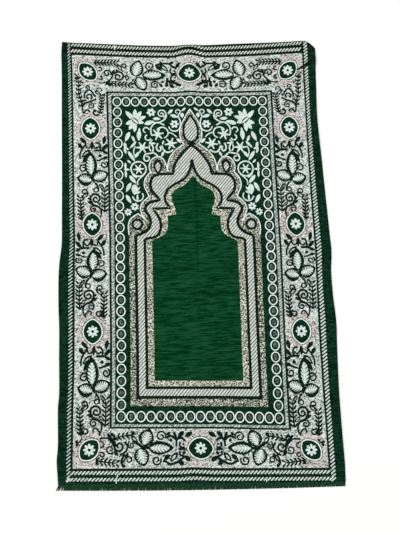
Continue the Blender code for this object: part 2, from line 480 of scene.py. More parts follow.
def draw_broad_leaf(leaf):
    """A broad leaf: a dark rim round a pale heart, and dark barbs that run in from the rim."""
    turn = math.radians(leaf.heading)
    ahead_x, ahead_y = math.cos(turn), math.sin(turn)

    def place(share, off):
        along = share * leaf.length
        return leaf.x + along * ahead_x - off * ahead_y, leaf.y + along * ahead_y + off * ahead_x

    def half_width(share):
        return leaf.width / 2 * math.sin(math.pi * share**BROAD_BELLY) ** BROAD_TAPER

    rim = [place(share, -half_width(share)) for share in RIM_STATIONS]
    rim.append(place(1.0, 0.0))
    rim += [place(share, half_width(share)) for share in reversed(RIM_STATIONS)]

    stations = [leaf.heart * share for share in HEART_STATIONS]
    heart = [place(HEART_START, 0.0)]
    heart += [place(share, leaf.right - half_width(share)) for share in stations]
    heart.append(place(leaf.heart, 0.0))
    heart += [place(share, half_width(share) - leaf.left) for share in reversed(stations)]

    shapes = [("figure", rim), ("heart", heart)]
    for k in range(BARB_COUNT):
        share = BARB_START + k * (leaf.heart - BARB_STOP - BARB_START) / (BARB_COUNT - 1)
        for hand, margin in ((1, leaf.left), (-1, leaf.right)):
            root = half_width(share) - margin + BARB_ROOT
            tip = max(BARB_GAP, half_width(share) - margin - BARB_LENGTH)
            shapes.append(("figure", [
                place(share, hand * root),
                place(share + BARB_WIDTH / leaf.length, hand * root),
                place(share - BARB_RAKE / leaf.length, hand * tip),
            ]))
    return shapes


def draw_flower(flower):
    """A round flower of small petals with a dark eye."""
    reaches = [flower.radius * share for share in PETAL_SHAPE] * flower.petals
    points = [
        polar(flower.x, flower.y, reach, flower.heading + 360 * k / len(reaches))
        for k, reach in enumerate(reaches)
    ]
    eye = flower.radius * FLOWER_EYE
    return [("figure", points), ("ground", round_outline(flower.x, flower.y, eye, eye, EYE_STEP))]


def draw_star(star):
    """A star of narrow blunt rays."""
    points = []
    for ray in range(STAR_RAYS):
        heading = star.heading + 360 * ray / STAR_RAYS
        points.append(polar(star.x, star.y, star.radius, heading - RAY_HALF_TURN))
        points.append(polar(star.x, star.y, star.radius, heading + RAY_HALF_TURN))
        points.append(polar(star.x, star.y, star.radius * STAR_WAIST, heading + 180 / STAR_RAYS))
    return [("figure", points)]


def draw_bloom(bloom):
    """An open flower seen from the side: pointed petals of their own lengths, and a ringed heart."""
    shapes = []
    for heading, length in bloom.petals:
        tip = polar(bloom.x, bloom.y, length, heading)
        base = polar(bloom.x, bloom.y, -BLOOM_OVERLAP, heading)
        shapes.append(("figure", leaf_outline(*tip, *base, bloom.width, PETAL_TAPER)))
    tip = polar(bloom.x, bloom.y, BLOOM_HEART, bloom.heart)
    base = polar(bloom.x, bloom.y, -BLOOM_HEART, bloom.heart)
    shapes.append(("ground", leaf_outline(*tip, *base, BLOOM_HEART_WIDTH)))
    shapes.append(("figure", leaf_outline(*tip, *base, BLOOM_EYE_WIDTH)))
    return shapes


Leaf = namedtuple("Leaf", "tip_x tip_y base_x base_y width")
SlitLeaf = namedtuple("SlitLeaf", "tip_x tip_y base_x base_y width")
Stem = namedtuple("Stem", "width points end_width", defaults=(None,))
Curl = namedtuple("Curl", "x y radius width heading turns hand")
Dot = namedtuple("Dot", "x y radius")
Ring = namedtuple("Ring", "x y radius width")
Fern = namedtuple("Fern", "points pitch reach width")
BroadLeaf = namedtuple("BroadLeaf", "x y length width heading left right heart")
Flower = namedtuple("Flower", "x y radius petals heading")
Star = namedtuple("Star", "x y radius heading")
Bloom = namedtuple("Bloom", "x y width petals heart")

DRAW = {
    Leaf: draw_leaf,
    SlitLeaf: draw_slit_leaf,
    Stem: draw_stem,
    Curl: draw_curl,
    Dot: draw_dot,
    Ring: draw_ring,
    Fern: draw_fern,
    BroadLeaf: draw_broad_leaf,
    Flower: draw_flower,
    Star: draw_star,
    Bloom: draw_bloom,
}

# ---------------------------------------------------------------- the chart, in millimetres

# The spray between two medallions of a side border, from the middle of the upper one.
SIDE_SPRAY = (
    Leaf(-27, -24, -10, -42, 10.3),
    Leaf(-32, -38, -21, -55, 10.3),
    Stem(4.6, ((-11, -39), (-19, -49), (-25, -60), (-28, -71), (-27, -80))),
    Stem(4.4, ((-13, -44), (-10, -51), (-4, -51), (0, -46))),
    Leaf(3, -33, 2, -57, 9.3),
    Stem(4.4, ((6, -44), (10, -51), (16, -52), (20, -47))),
    Stem(5, ((11, -38), (18, -38), (23, -44), (23, -57))),
    Stem(5.8, ((8, -58), (18, -58), (30, -59))),
    Leaf(36, -19, 31, -43, 9.8),
    Leaf(42, -41, 26, -60, 9.8),
    Leaf(42, -67, 27, -58, 8.3),
    Dot(22, -71.5, 4.6),
    Leaf(42, -74, 27, -81, 8.8),
    Stem(4.6, ((30, -79), (22, -83), (14, -84))),
    SlitLeaf(-1, -56, -24, -76, 13.5),
    Leaf(-3, -63, -22, -91, 13.8),
    BroadLeaf(0, -124, 63, 31, 91, 4.1, 7.5, 0.83),
    Curl(-20, -104, 11.2, 4.3, 30, 1.3, 1),
    Curl(32, -94, 10.8, 4.5, 60, 1.3, -1),
    BroadLeaf(4, -131, 41, 33, 21, 4.6, 5, 0.84),
    BroadLeaf(2, -137, 39, 34, 166, 8.6, 4.5, 0.84),
    Stem(7, ((4, -120), (3, -130), (6, -140)), 5.6),
    Stem(5, ((8, -140), (14, -148), (17, -157), (16, -164))),
    Curl(11, -160, 8.2, 3.9, 350, 0.95, 1),
    SlitLeaf(19, -144, 30, -158, 9.5),
    Fern(((31, -216), (32, -190), (32, -156)), 9.9, 14.2, 5),
    Fern(((-25, -236), (-27, -212), (-28, -181)), 9.6, 13.7, 5),
    Stem(7, ((-25, -236), (-26, -222), (-27, -204)), 4),
    Curl(-18, -165, 9.1, 4.3, 320, 1.1, 1),
    SlitLeaf(-7, -167, -25, -181, 10.5),
    Leaf(-11, -180, 1, -184, 6.3),
    Leaf(-11, -188, 2, -196, 6.8),
    Curl(9, -182, 15.7, 5.6, 225, 1.7, -1),
    Stem(6.8, (
        (-1, -188), (1, -195), (9, -200), (17, -203), (22, -210), (23, -219), (21, -228), (16, -235),
    ), 3.6),
    SlitLeaf(16, -191, 28, -204, 8.5),
    Curl(4, -208, 10.2, 4.3, 70, 1.35, 1),
)
LOWER_EXTRAS = (
    Stem(4.2, ((4, -229), (3, -223), (9, -219), (15, -225), (19, -232))),
    Curl(-15, -226, 9.1, 4.5, 160, 0.95, 1),
)

SideStretch = namedtuple("SideStretch", "medallion_y hand drop extras")
SIDE_STRETCHES = (
    SideStretch(323.0, 1, 0.0, ()),
    SideStretch(76.0, -1, 8.0, LOWER_EXTRAS),
    SideStretch(-184.5, 1, -4.0, LOWER_EXTRAS),
)
SIDE_MIDDLE = 252.0  # how far the middle of a side border is from the chart's
DROP_START, DROP_SPAN = 60.0, 55.0  # from where a stretch's spray is drawn up or down

# The short spray of the left border between its corner medallion and the next one.
TOP_SPRAY = (
    Stem(4, ((-291, 473), (-285, 467), (-280, 461))),
    Leaf(-291, 457, -277, 461, 6.8),
    Fern(((-272, 380), (-275, 397), (-280, 414), (-280, 437), (-281, 456)), 11.1, 12.2, 4.8),
    SlitLeaf(-267, 449, -279, 438, 7),
    SlitLeaf(-264, 400, -272, 386, 7),
    Curl(-258, 433, 7.2, 3.5, 320, 1.1, 1),
    Stem(4.8, ((-265, 403), (-266, 414), (-260, 424), (-252, 426), (-246, 420), (-241, 410))),
    Leaf(-235, 409, -244, 411, 6.3),
    Curl(-254, 407, 9.7, 4.8, 310, 0.8, 1),
    Dot(-258, 404, 3.8),
    Curl(-228, 426, 8.2, 3.7, 215, 0.7, -1),
    Dot(-222, 425, 2.4),
    SlitLeaf(-241, 425, -222, 410, 9.5),
    Leaf(-213, 417, -222, 409, 6.3),
    Fern(((-228, 362), (-224, 383), (-221, 409)), 8.2, 11.2, 4.7),
    Stem(5, (
        (-236, 403), (-243, 398), (-251, 395), (-261, 392), (-267, 387), (-272, 379), (-271, 370),
        (-269, 362),
    ), 4),
    Curl(-250, 384, 9.3, 3.7, 100, 1.45, -1),
    Stem(4.4, ((-268, 363), (-264, 370), (-258, 372), (-253, 365))),
    Dot(-239, 370, 4),
    Stem(5, ((-240, 373), (-244, 367), (-242, 360), (-235, 358), (-229, 361))),
)

# The left half of the border along the head.
HEAD_SPRAY = (
    Curl(-225, 486, 7.4, 4.5, 120, 0.75, -1),
    Curl(-225, 462, 7.8, 4.8, 90, 0.6, -1),
    Curl(-206, 475, 11.9, 4.8, 330, 1.35, 1),
    Stem(4.4, ((-192, 477), (-194, 466), (-203, 455), (-212, 449), (-222, 447), (-230, 448))),
    Fern(((-240, 503), (-210, 505), (-183, 505)), 8.4, 13.7, 4.8),
    SlitLeaf(-181, 502, -167, 482, 10.5),
    Curl(-163, 497, 8.7, 4.1, 200, 1.1, -1),
    Leaf(-188, 487, -194, 474, 6.8),
    Leaf(-183, 488, -179, 477, 6.8),
    Curl(-178, 468, 15.7, 5.4, 150, 1.6, -1),
    Curl(-158, 464, 8.2, 3.9, 160, 1.3, -1),
    SlitLeaf(-154, 439, -143, 454, 8.5),
    Stem(4.6, ((-143, 454), (-140, 461))),
    Fern(((-208, 446), (-180, 445), (-148, 442)), 8.7, 13.7, 4.8),
    Leaf(-213, 441, -199, 452, 6.8),
    Leaf(-205, 437, -192, 450, 6.8),
    BroadLeaf(-137, 468, 49, 36, 74, 5.1, 5.5, 0.86),
    BroadLeaf(-118, 472, 61, 32, 0, 4.1, 7.5, 0.8),
    BroadLeaf(-130, 467, 46, 35, -66, 4.6, 5, 0.82),
    Curl(-97, 498, 13.2, 4.5, 300, 1.4, -1),
    Stem(5.4, ((-84, 500), (-70, 505), (-57, 506), (-46, 505))),
    Leaf(-36, 511, -48, 504, 7.8),
    Leaf(-71, 512, -67, 504, 7.3),
    Stem(5.2, ((-47, 504), (-42, 500), (-33, 494), (-31, 489))),
    Leaf(-21, 506, -32, 491, 10.3),
    SlitLeaf(-72, 503, -50, 484, 13.5),
    Leaf(-82, 501, -67, 486, 11.3),
    Stem(4.6, ((-43, 492), (-46, 485), (-44, 479), (-38, 476))),
    Stem(4.6, ((-40, 473), (-44, 468), (-45, 459), (-38, 455))),
    Leaf(-29, 475, -46, 475, 10.3),
    Stem(4, ((-37, 488), (-35, 483), (-31, 480))),
    Stem(4, ((-36, 463), (-33, 467), (-30, 470))),
    Dot(-66, 453, 4.6),
    Stem(6, ((-54, 466), (-54, 458), (-57, 447))),
    Leaf(-58, 436, -54, 451, 9.3),
    Leaf(-67, 436, -75, 449, 8.3),
    Stem(5.8, ((-52, 456), (-42, 454), (-33, 458))),
    Stem(7.4, ((-50, 449), (-42, 451), (-34, 449), (-28, 444))),
    Leaf(-37, 434, -50, 446, 10.3),
    Leaf(-18, 440, -33, 444, 9.8),
    Curl(-86, 444, 12.5, 4.5, 40, 1.4, 1),
)

# The left half of the border along the foot.
FOOT_SPRAY = (
    Leaf(-290, -436, -283, -441, 7.3),
    Leaf(-288, -449, -282, -440, 7.3),
    Stem(3.8, ((-285, -441), (-279, -438), (-275, -431))),
    Stem(4.4, ((-234, -432), (-226, -430), (-215, -431), (-207, -438), (-201, -446), (-198, -456))),
    Leaf(-217, -421, -206, -431, 7.8),
    Leaf(-208, -418, -201, -428, 8.3),
    Stem(5.8, ((-212, -427), (-205, -432), (-199, -440), (-196, -450)), 4.4),
    Curl(-209, -456, 10.8, 4.3, 325, 1.25, -1),
    Stem(3.8, ((-233, -436), (-227, -440), (-223, -444), (-225, -449), (-231, -452))),
    Curl(-228, -467, 7.4, 4.1, 140, 0.95, -1),
    Fern(((-243, -480), (-222, -483), (-197, -486)), 8.7, 13.7, 4.9),
    Leaf(-243, -490, -236, -481, 7.3),
    Fern(((-209, -439), (-196, -430), (-174, -425)), 8.7, 12.2, 4.9),
    Leaf(-153, -415, -160, -425, 9.8),
    Stem(4.4, ((-174, -425), (-166, -424), (-159, -424))),
    SlitLeaf(-161, -425, -146, -440, 11),
    Stem(6, ((-148, -438), (-145, -443), (-139, -447))),
    Stem(3.8, ((-159, -438), (-152, -441), (-144, -446))),
    Curl(-189, -449, 13.2, 5.4, 170, 1.25, 1),
    Stem(4.6, ((-176, -438), (-170, -445), (-170, -455), (-177, -463), (-187, -468)), 5),
    Leaf(-191, -470, -201, -457, 8.3),
    Curl(-161, -446, 8.5, 3.8, 150, 1.4, 1),
    Stem(3.8, ((-165, -436), (-167, -441), (-168, -446))),
    Leaf(-168, -462, -174, -478, 8.3),
    Stem(5.4, ((-175, -466), (-180, -473), (-183, -481), (-182, -488), (-179, -493))),
    Dot(-178, -492, 4.6),
    Curl(-166, -478, 8.5, 4.1, 140, 0.95, -1),
    Stem(4, ((-183, -484), (-177, -480), (-173, -474))),
    BroadLeaf(-133, -447, 41, 36, 67, 5.1, 5, 0.8),
    BroadLeaf(-142, -452, 43, 36, -73, 5.1, 5, 0.85),
    BroadLeaf(-121, -452, 59, 31, 0, 7.6, 5, 0.83),
    Stem(6.8, ((-142, -445), (-137, -449), (-128, -451), (-118, -452))),
    Curl(-91, -426, 12.9, 4.3, 330, 1.45, 1),
    Curl(-102, -480, 12.3, 4.3, 30, 1.4, -1),
    Leaf(-70, -417, -80, -424, 7.3),
    Stem(6.4, ((-62, -417), (-58, -426), (-56, -436), (-57, -449)), 4.4),
    Dot(-69, -435, 4),
    Stem(5.8, ((-79, -430), (-70, -425), (-62, -429), (-55, -436))),
    Leaf(-38, -415, -53, -428, 11.3),
    Leaf(-19, -417, -37, -428, 11.3),
    Stem(6.8, ((-56, -434), (-49, -430), (-42, -431), (-36, -437)), 5),
    Stem(5, ((-47, -439), (-49, -446), (-45, -451), (-37, -452))),
    Dot(-40, -444, 3),
    Stem(6.2, ((-51, -455), (-44, -455), (-36, -456))),
    Stem(5, ((-48, -460), (-49, -466), (-44, -470), (-38, -472))),
    Leaf(-36, -459, -42, -469, 7.3),
    Leaf(-24, -483, -38, -470, 11.3),
    Leaf(-39, -490, -53, -481, 10.8),
    SlitLeaf(-53, -462, -71, -483, 13.5),
    Leaf(-71, -467, -86, -479, 10.8),
    Stem(5.4, (
        (-88, -481), (-80, -483), (-74, -487), (-66, -488), (-55, -484), (-45, -478), (-36, -471),
    ), 6),
)

# The left spandrel, in cream on the dark ground.
SPANDREL_SPRAY = (
    Bloom(-140.5, 343.5, 11.5, (
        (131, 35), (87, 32), (56, 31), (22, 31), (-16, 24), (202, 25), (238, 29), (268, 31),
    ), -42),
    Flower(-98.5, 366, 11.8, 6, 10),
    Flower(-40.5, 334, 11.4, 6, 0),
    Flower(-146, 120.5, 10.5, 7, 20),
    Flower(-163, 107, 9.5, 7, 0),
    Curl(-72, 362, 12.5, 3.5, 290, 1.75, 1),
    Stem(3.6, ((-94, 338), (-82, 338), (-72, 342), (-63, 349), (-60, 358))),
    Leaf(-95, 349, -75, 348, 8.8),
    Leaf(-117, 334, -91, 342, 11.8),
    Stem(3.6, ((-99, 304), (-101, 317), (-98, 328), (-90, 336), (-80, 338), (-66, 331))),
    Curl(-112.5, 317.5, 9.5, 3.7, 10, 0.68, 1),
    Curl(-108, 298, 9.5, 3.7, 110, 0.66, 1),
    Star(-84, 307, 16, 12),
    Curl(-72, 310, 17.5, 3.7, 150, 0.62, -1),
    Stem(3, ((-56, 311), (-46, 308), (-36, 299))),
    Leaf(-51, 359, -30, 352, 8.8),
    Leaf(-43.5, 374, -57, 361, 7.8),
    Curl(-31, 367, 8, 3.3, 300, 0.9, 1),
    Stem(3.6, ((-28, 361), (-30, 354), (-26, 344), (-25, 334))),
    Curl(-41, 330, 17.5, 3.7, 10, 0.5, -1),
    Leaf(-10, 377, -22, 368, 5.8),
    Leaf(-20, 364, -20, 350, 9.3),
    Star(-51.5, 282, 16, 10),
    Star(-123.5, 272, 16, 0),
    Stem(3, ((-141, 275), (-145, 266), (-145, 256), (-141, 247))),
    Stem(4, ((-75, 277), (-71, 267), (-64, 260), (-55, 260), (-46, 266))),
    Stem(4, ((-84, 283), (-88, 274), (-86, 265), (-81, 262), (-77, 267), (-79, 275))),
    Leaf(-69, 290, -73, 279, 5.1),
    Leaf(-69, 262, -77, 247, 6.3),
    Leaf(-97, 293, -107, 282, 4.1),
    Leaf(-89, 283, -107, 282, 5.6),
    Stem(3.6, ((-101, 281), (-96, 272), (-98, 261))),
    Stem(3, ((-105, 279), (-106, 270), (-102, 262))),
    Leaf(-129, 324, -131, 309, 5.8),
    Leaf(-130, 318, -132, 290, 11.8),
    Leaf(-154, 314, -166, 288, 10.8),
    Leaf(-149, 303, -141, 285, 6.8),
    Leaf(-138, 288, -155, 270, 6.8),
    Leaf(-168, 286, -165, 268, 7.8),
    Leaf(-157, 267, -169, 272, 5.8),
    Leaf(-164, 256, -170, 272, 5.8),
    Leaf(-160, 263, -143, 236, 8.8),
    Leaf(-132, 261, -143, 245, 7.8),
    Curl(-113, 244, 9.5, 3.9, 130, 0.95, 1),
    Stem(3.6, ((-120, 246), (-117, 254), (-102, 257), (-95, 258), (-85, 250))),
    Leaf(-36, 296, -25, 283, 7.8),
    Leaf(-167, 234, -167, 213, 5.8),
    Leaf(-166, 194, -167, 216, 5.8),
    Leaf(-156, 215, -172, 216, 5.8),
    Leaf(-162, 240, -153, 231, 5.3),
    Ring(-134.5, 216.5, 21, 3.8),
    Star(-134.5, 216, 13.5, 5),
    Stem(4, ((-151, 204), (-146, 199), (-139, 194))),
    Stem(3, ((-121, 202), (-130, 194), (-137, 186), (-138, 175))),
    Leaf(-158, 200, -141, 179, 9.8),
    Leaf(-154, 182, -167, 158, 9.8),
    Leaf(-145, 178, -146, 150, 15.8),
    Leaf(-132, 171, -144, 155, 4.6),
    Leaf(-131, 159, -144, 153, 5.6),
    Curl(-137, 148, 15.5, 3.5, 185, 0.58, 1),
    Leaf(-139, 152, -139, 132, 5.1),
    Leaf(-167, 151, -155, 129, 9.8),
)

# The arch, from the outside in: the left half of each outline in smooth or straight runs.
OUTER_EDGE = (
    ((-162, -358), (-162, 50)),
    ((-162, 50), (-163.5, 66), (-162.5, 78), (-158, 89), (-149, 97), (-138, 103)),
    ((-138, 103), (-130, 97), (-123, 90), (-118, 85)),
    ((-118, 85), (-125, 94), (-130, 104), (-132.5, 115), (-130, 126), (-122, 136), (-110, 146)),
    ((-110, 146), (-115, 158), (-120, 168), (-121.5, 178), (-119, 190), (-113, 200), (-105, 208)),
    ((-105, 208), (-108, 219), (-106, 232), (-98, 243.5), (-86, 248.5), (-75.5, 245), (-68, 235),
     (-64, 223), (-62.5, 211)),
    ((-62.5, 211), (-60.5, 230), (-55, 246), (-45, 260), (-33, 271), (-19, 281)),
    ((-19, 281), (-25, 291), (-28, 306), (-26.5, 323), (-20, 339), (-11, 355), (0, 373)),
)
OUTER_LINE = (
    ((-145.5, -338), (-145.5, 30)),
    ((-145.5, 30), (-144, 47), (-133, 52), (-119, 60), (-110, 72), (-108, 84), (-111, 96), (-119, 108)),
    ((-119, 108), (-120, 118), (-114, 128), (-102, 133), (-84, 137)),
    ((-84, 137), (-92, 148), (-101.5, 159), (-106, 174), (-103.5, 188), (-96, 198), (-84, 203)),
    ((-84, 203), (-48, 204)),
    ((-48, 204), (-46.5, 218), (-40.5, 233), (-27, 253), (-13, 268), (0, 277)),
)
INNER_LINE = (
    ((-123.5, -316), (-123.5, 38)),
    ((-123.5, 38), (-112, 42), (-99, 44), (-89, 52), (-84, 64), (-83, 76), (-87, 92), (-101, 115)),
    ((-101, 115), (-58, 117)),
    ((-58, 117), (-69, 132), (-70.5, 148), (-64, 162), (-52, 173), (-36, 182), (-20, 192), (-9, 207),
     (-3.5, 222), (0, 240)),
)
FIELD_EDGE = (
    ((-105.5, -300), (-105.5, 33)),
    ((-105.5, 33), (-98, 39), (-82, 46), (-71, 56), (-66, 70), (-65, 97)),
    ((-65, 97), (-44.5, 101)),
    ((-44.5, 101), (-46, 115), (-53, 136), (-52, 152), (-43, 164), (-24, 173), (-13, 183), (0, 198)),
)
# Painted shade: a darker strip of the field's pile where the middle fold turns away from the light.
FIELD_FOLD_SHADE = Stem(10, ((4, 194), (7, 130), (6, 60), (4, -40)), 3)  # the shade of the middle fold
FINIAL_LINE = (
    ((0, 286), (-9, 288.5), (-15, 296), (-18.2, 309), (-17.2, 325), (-11, 341), (0, 357)),
)
RIM_WIDTH = 2.4  # the white line round the head of the arch
OUTER_LINE_WIDTH = 7.2
INNER_LINE_WIDTH = 6.6
FINIAL_LINE_WIDTH = 5.6
NECK_Y, NECK_HALF_WIDTH, NECK_HALF_HEIGHT = 281.0, 12.0, 4.0  # the dark knot under the finial
SHOULDER_X, SHOULDER_Y = -141.0, 76.0  # the round boss on the left shoulder
SHOULDER_CORE, SHOULDER_RING = 8.8, 15.0
DROP_BOSS = Leaf(-86, 243, -86, 203, 24)
DROP_CORE = Leaf(-86, 234, -86, 210, 12.5)

# The frames round the arch, from the outside in.
Band = namedtuple("Band", "yarn middle half_width low high")
BANDS = (
    Band("hem green", 0.0, 330.0, 524.7, 570.0),
    Band("bottle green", 0.0, 297.5, -500.9, 524.7),
    Band("cream ground", 0.0, 294.7, -497.4, 521.7),
    Band("bottle green", 1.0, 212.0, -409.3, 423.0),
    Band("guard stripe", 1.0, 206.9, -405.0, 418.1),
    Band("spandrel green", 1.0, 199.6, -399.3, 411.0),
)

GROUND_BAND = 2  # the row of the border's own ground

# Medallions: a dark lens in a cream ring, with a flower on it.
Medallion = namedtuple("Medallion", "x y half_width half_height lean")
MEDALLIONS = (
    Medallion(252, 323, 21.5, 28, 0),
    Medallion(252, 76, 21.5, 28, 0),
    Medallion(252, -184.5, 21.5, 28, 0),
    Medallion(256, 478.5, 19.8, 27, -41),
    Medallion(257.5, -456.5, 19.6, 26.5, 43),
    Medallion(3, 474.5, 23.5, 28, 90),
    Medallion(0, -454, 23.5, 28, 90),
)
LENS_POINT = 0.66  # 0.5 is an ellipse and 1 a lens with sharp points
LENS_STEPS = 28
SHADED_REACH = 19.0  # how far beyond the lens the ground has the browner weft
HALO, HALO_WIDTH, RING_WIDTH = 5.0, 1.8, 2.6  # the grey outline beyond the lens, and its ring
LENS_FLOWER = Flower(0, 0, 14.2, 8, 0)

# The chain of rings inside the guard stripe.
RINGS_ACROSS, RINGS_UP = 17, 30
CHAIN_MIDDLE, CHAIN_HALF, CHAIN_LOW, CHAIN_HIGH = 1.0, 185.0, -382.0, 395.0
RING_HALF_WIDTH, RING_HALF_HEIGHT, RING_STROKE = 11.3, 12.9, 2.6
CORE_HALF_WIDTH, CORE_HALF_HEIGHT = 5.0, 6.8
RowShift = namedtuple("RowShift", "y left right")
CHAIN_SHIFTS = (  # how far the rings lie up from even places, above and below the crosswise fold
    RowShift(-390, 0.0, -1.0),
    RowShift(-340, 0.5, 0.5),
    RowShift(-280, 2.0, 2.0),
    RowShift(-200, 4.0, 4.0),
    RowShift(-20, 4.0, 4.0),
    RowShift(5, 0.0, 1.0),
    RowShift(30, -4.0, -1.0),
    RowShift(220, -6.0, -2.0),
    RowShift(280, -5.0, -2.0),
    RowShift(340, -2.0, -2.0),
    RowShift(400, 0.0, 0.0),
)

# Rope stripes: slanting strokes between two lines, the same way round the whole rug.
Rope = namedtuple("Rope", "start end low high pitch stroke_width slant")
SIDE_ROPES = (
    Rope(-527, 566, -309.0, -299.8, 8.3, 2.4, 6.8),
    Rope(-527, 566, 299.2, 309.2, 8.3, 4.1, 6.8),
)
CROSS_ROPES = (
    Rope(-297, 297, 528.2, 537.2, 8.2, 4.2, 6.5),
    Rope(-296, 297, 544.8, 553.4, 7.9, 3.5, 5.5),
    Rope(-298, 298, -511.2, -503.0, 8.4, 4.2, 6.5),
    Rope(-309, 309, -525.8, -518.0, 8.4, 4.2, 6.0),
)
STROKE_SLIM, STROKE_CUT = 0.6, 1.5  # a stroke's ends, as a share of its width, and how long they are

# Painted shade of the crease across the head's right corner, a dark stroke over the pattern, and the
# ends of yarn that lie loose on the rug.
CORNER_CREASE_SHADE = Stem(13, ((331, 508), (312, 497), (296, 486), (279, 478)), 4)
LOOSE_THREADS = (
    Stem(1.9, ((-191, -510), (-195, -522), (-195, -531), (-191, -541))),
    Stem(1.5, ((149, -521), (151, -531), (156, -535), (161, -530), (161, -523))),
    Stem(1.7, ((-185, 541), (-186, 548), (-184, 555))),
)


def mirrored(outline, hand):
    return [(x * hand, y) for x, y in outline]


def drawn(spray, figure, ground):
    """The shapes of a spray as (yarn, outline)."""
    yarns = {"figure": figure, "ground": ground, "heart": "spandrel white"}
    return [(yarns[part], outline) for row in spray for part, outline in DRAW[type(row)](row)]


def halves(spray, figure, ground):
    """A half's shapes, and the same mirrored for the other half."""
    shapes = drawn(spray, figure, ground)
    return [(yarn, mirrored(outline, hand)) for hand in (1, -1) for yarn, outline in shapes]


def side_shapes():
    """The sprays down both side borders, which turn their hand from one stretch to the next."""
    shapes = []
    for side in (-1, 1):
        for stretch in SIDE_STRETCHES:
            for yarn, outline in drawn(SIDE_SPRAY + stretch.extras, "bottle green", "cream ground"):
                placed = []
                for x, y in outline:
                    drop = stretch.drop * ease((-y - DROP_START) / DROP_SPAN)
                    hand = -side * stretch.hand
                    placed.append((side * SIDE_MIDDLE + hand * x, stretch.medallion_y + y + drop))
                shapes.append((yarn, placed))
    return shapes


def lens_outline(medallion, beyond):
    """A lens with two soft points, turned by its lean."""
    turn = math.radians(medallion.lean)
    points = []
    for k in range(LENS_STEPS):
        angle = 2 * math.pi * k / LENS_STEPS
        side = math.copysign(abs(math.cos(angle)) ** (2 * LENS_POINT), math.cos(angle))
        x = (medallion.half_width + beyond) * side
        y = (medallion.half_height + beyond) * math.sin(angle)
        points.append((
            medallion.x + x * math.cos(turn) - y * math.sin(turn),
            medallion.y + x * math.sin(turn) + y * math.cos(turn),
        ))
    return points


def shaded_shapes():
    """The browner ground round each medallion, inside the border's frame."""
    ground = BANDS[GROUND_BAND]
    areas = []
    for medallion in MEDALLIONS:
        outline = [
            (min(x, ground.half_width), held(y, ground.low, ground.high))
            for x, y in lens_outline(medallion, SHADED_REACH)
        ]
        areas += [("shaded ground", mirrored(outline, hand)) for hand in hands_of(medallion)]
    return areas


def hands_of(medallion):
    """A medallion on the middle line stands alone, and the others have a mirrored twin."""
    return (1,) if medallion.x < SIDE_MIDDLE / 2 else (1, -1)


def medallion_shapes():
    shapes = []
    for medallion in MEDALLIONS:
        lens = [
            ("grey core", lens_outline(medallion, HALO)),
            ("shaded ground", lens_outline(medallion, HALO - HALO_WIDTH)),
            ("cream figure", lens_outline(medallion, RING_WIDTH)),
            ("medallion green", lens_outline(medallion, 0.0)),
        ]
        flower = LENS_FLOWER._replace(x=medallion.x, y=medallion.y)
        lens += drawn((flower,), "spandrel white", "bottle green")
        for hand in hands_of(medallion):
            shapes += [(yarn, mirrored(outline, hand)) for yarn, outline in lens]
    return shapes


def chain_shapes():
    """The chain of touching rings, each with a grey core."""
    pitch_x = 2 * CHAIN_HALF / (RINGS_ACROSS - 1)
    pitch_y = (CHAIN_HIGH - CHAIN_LOW) / (RINGS_UP - 1)
    across = [-CHAIN_HALF + k * pitch_x for k in range(RINGS_ACROSS)]
    up = [CHAIN_LOW + k * pitch_y for k in range(1, RINGS_UP - 1)]
    places = [(x, y) for x in across for y in (CHAIN_LOW, CHAIN_HIGH)]
    places += [(x, y) for y in up for x in (-CHAIN_HALF, CHAIN_HALF)]
    inside_width, inside_height = RING_HALF_WIDTH - RING_STROKE, RING_HALF_HEIGHT - RING_STROKE
    shapes = []
    for x, y in places:
        if abs(x) == CHAIN_HALF:
            y += smooth_through(CHAIN_SHIFTS, y, "left" if x < 0 else "right")
        x += CHAIN_MIDDLE
        shapes += [
            ("cream figure", round_outline(x, y, RING_HALF_WIDTH, RING_HALF_HEIGHT, RING_STEP)),
            ("bottle green", round_outline(x, y, inside_width, inside_height)),
            ("grey core", round_outline(x, y, CORE_HALF_WIDTH, CORE_HALF_HEIGHT, CORE_STEP)),
        ]
    return shapes


def run_points(runs):
    """One line through the smooth and straight runs of a half outline."""
    line = []
    for run in runs:
        points = smooth_line(run) if len(run) > 2 else long_line(run)
        line += points[:-1]
    line.append(tuple(runs[-1][-1]))
    return line


def arch_area(runs):
    """The whole outline of an arch: the left half, and the right half mirrored back down."""
    left = run_points(runs)
    right = [(-x, y) for x, y in left[-2::-1]]
    sill = long_line([right[-1], left[0]])[1:-1]
    return left + right + sill


def arch_strokes(runs, width):
    """The line of an arch, as two halves and a sill."""
    left = run_points(runs)
    sill_y = left[0][1]
    sill = long_line([(left[0][0] - width / 2, sill_y), (-left[0][0] + width / 2, sill_y)])
    return [stroke(left, width), stroke(mirrored(left, -1), width), stroke(sill, width)]


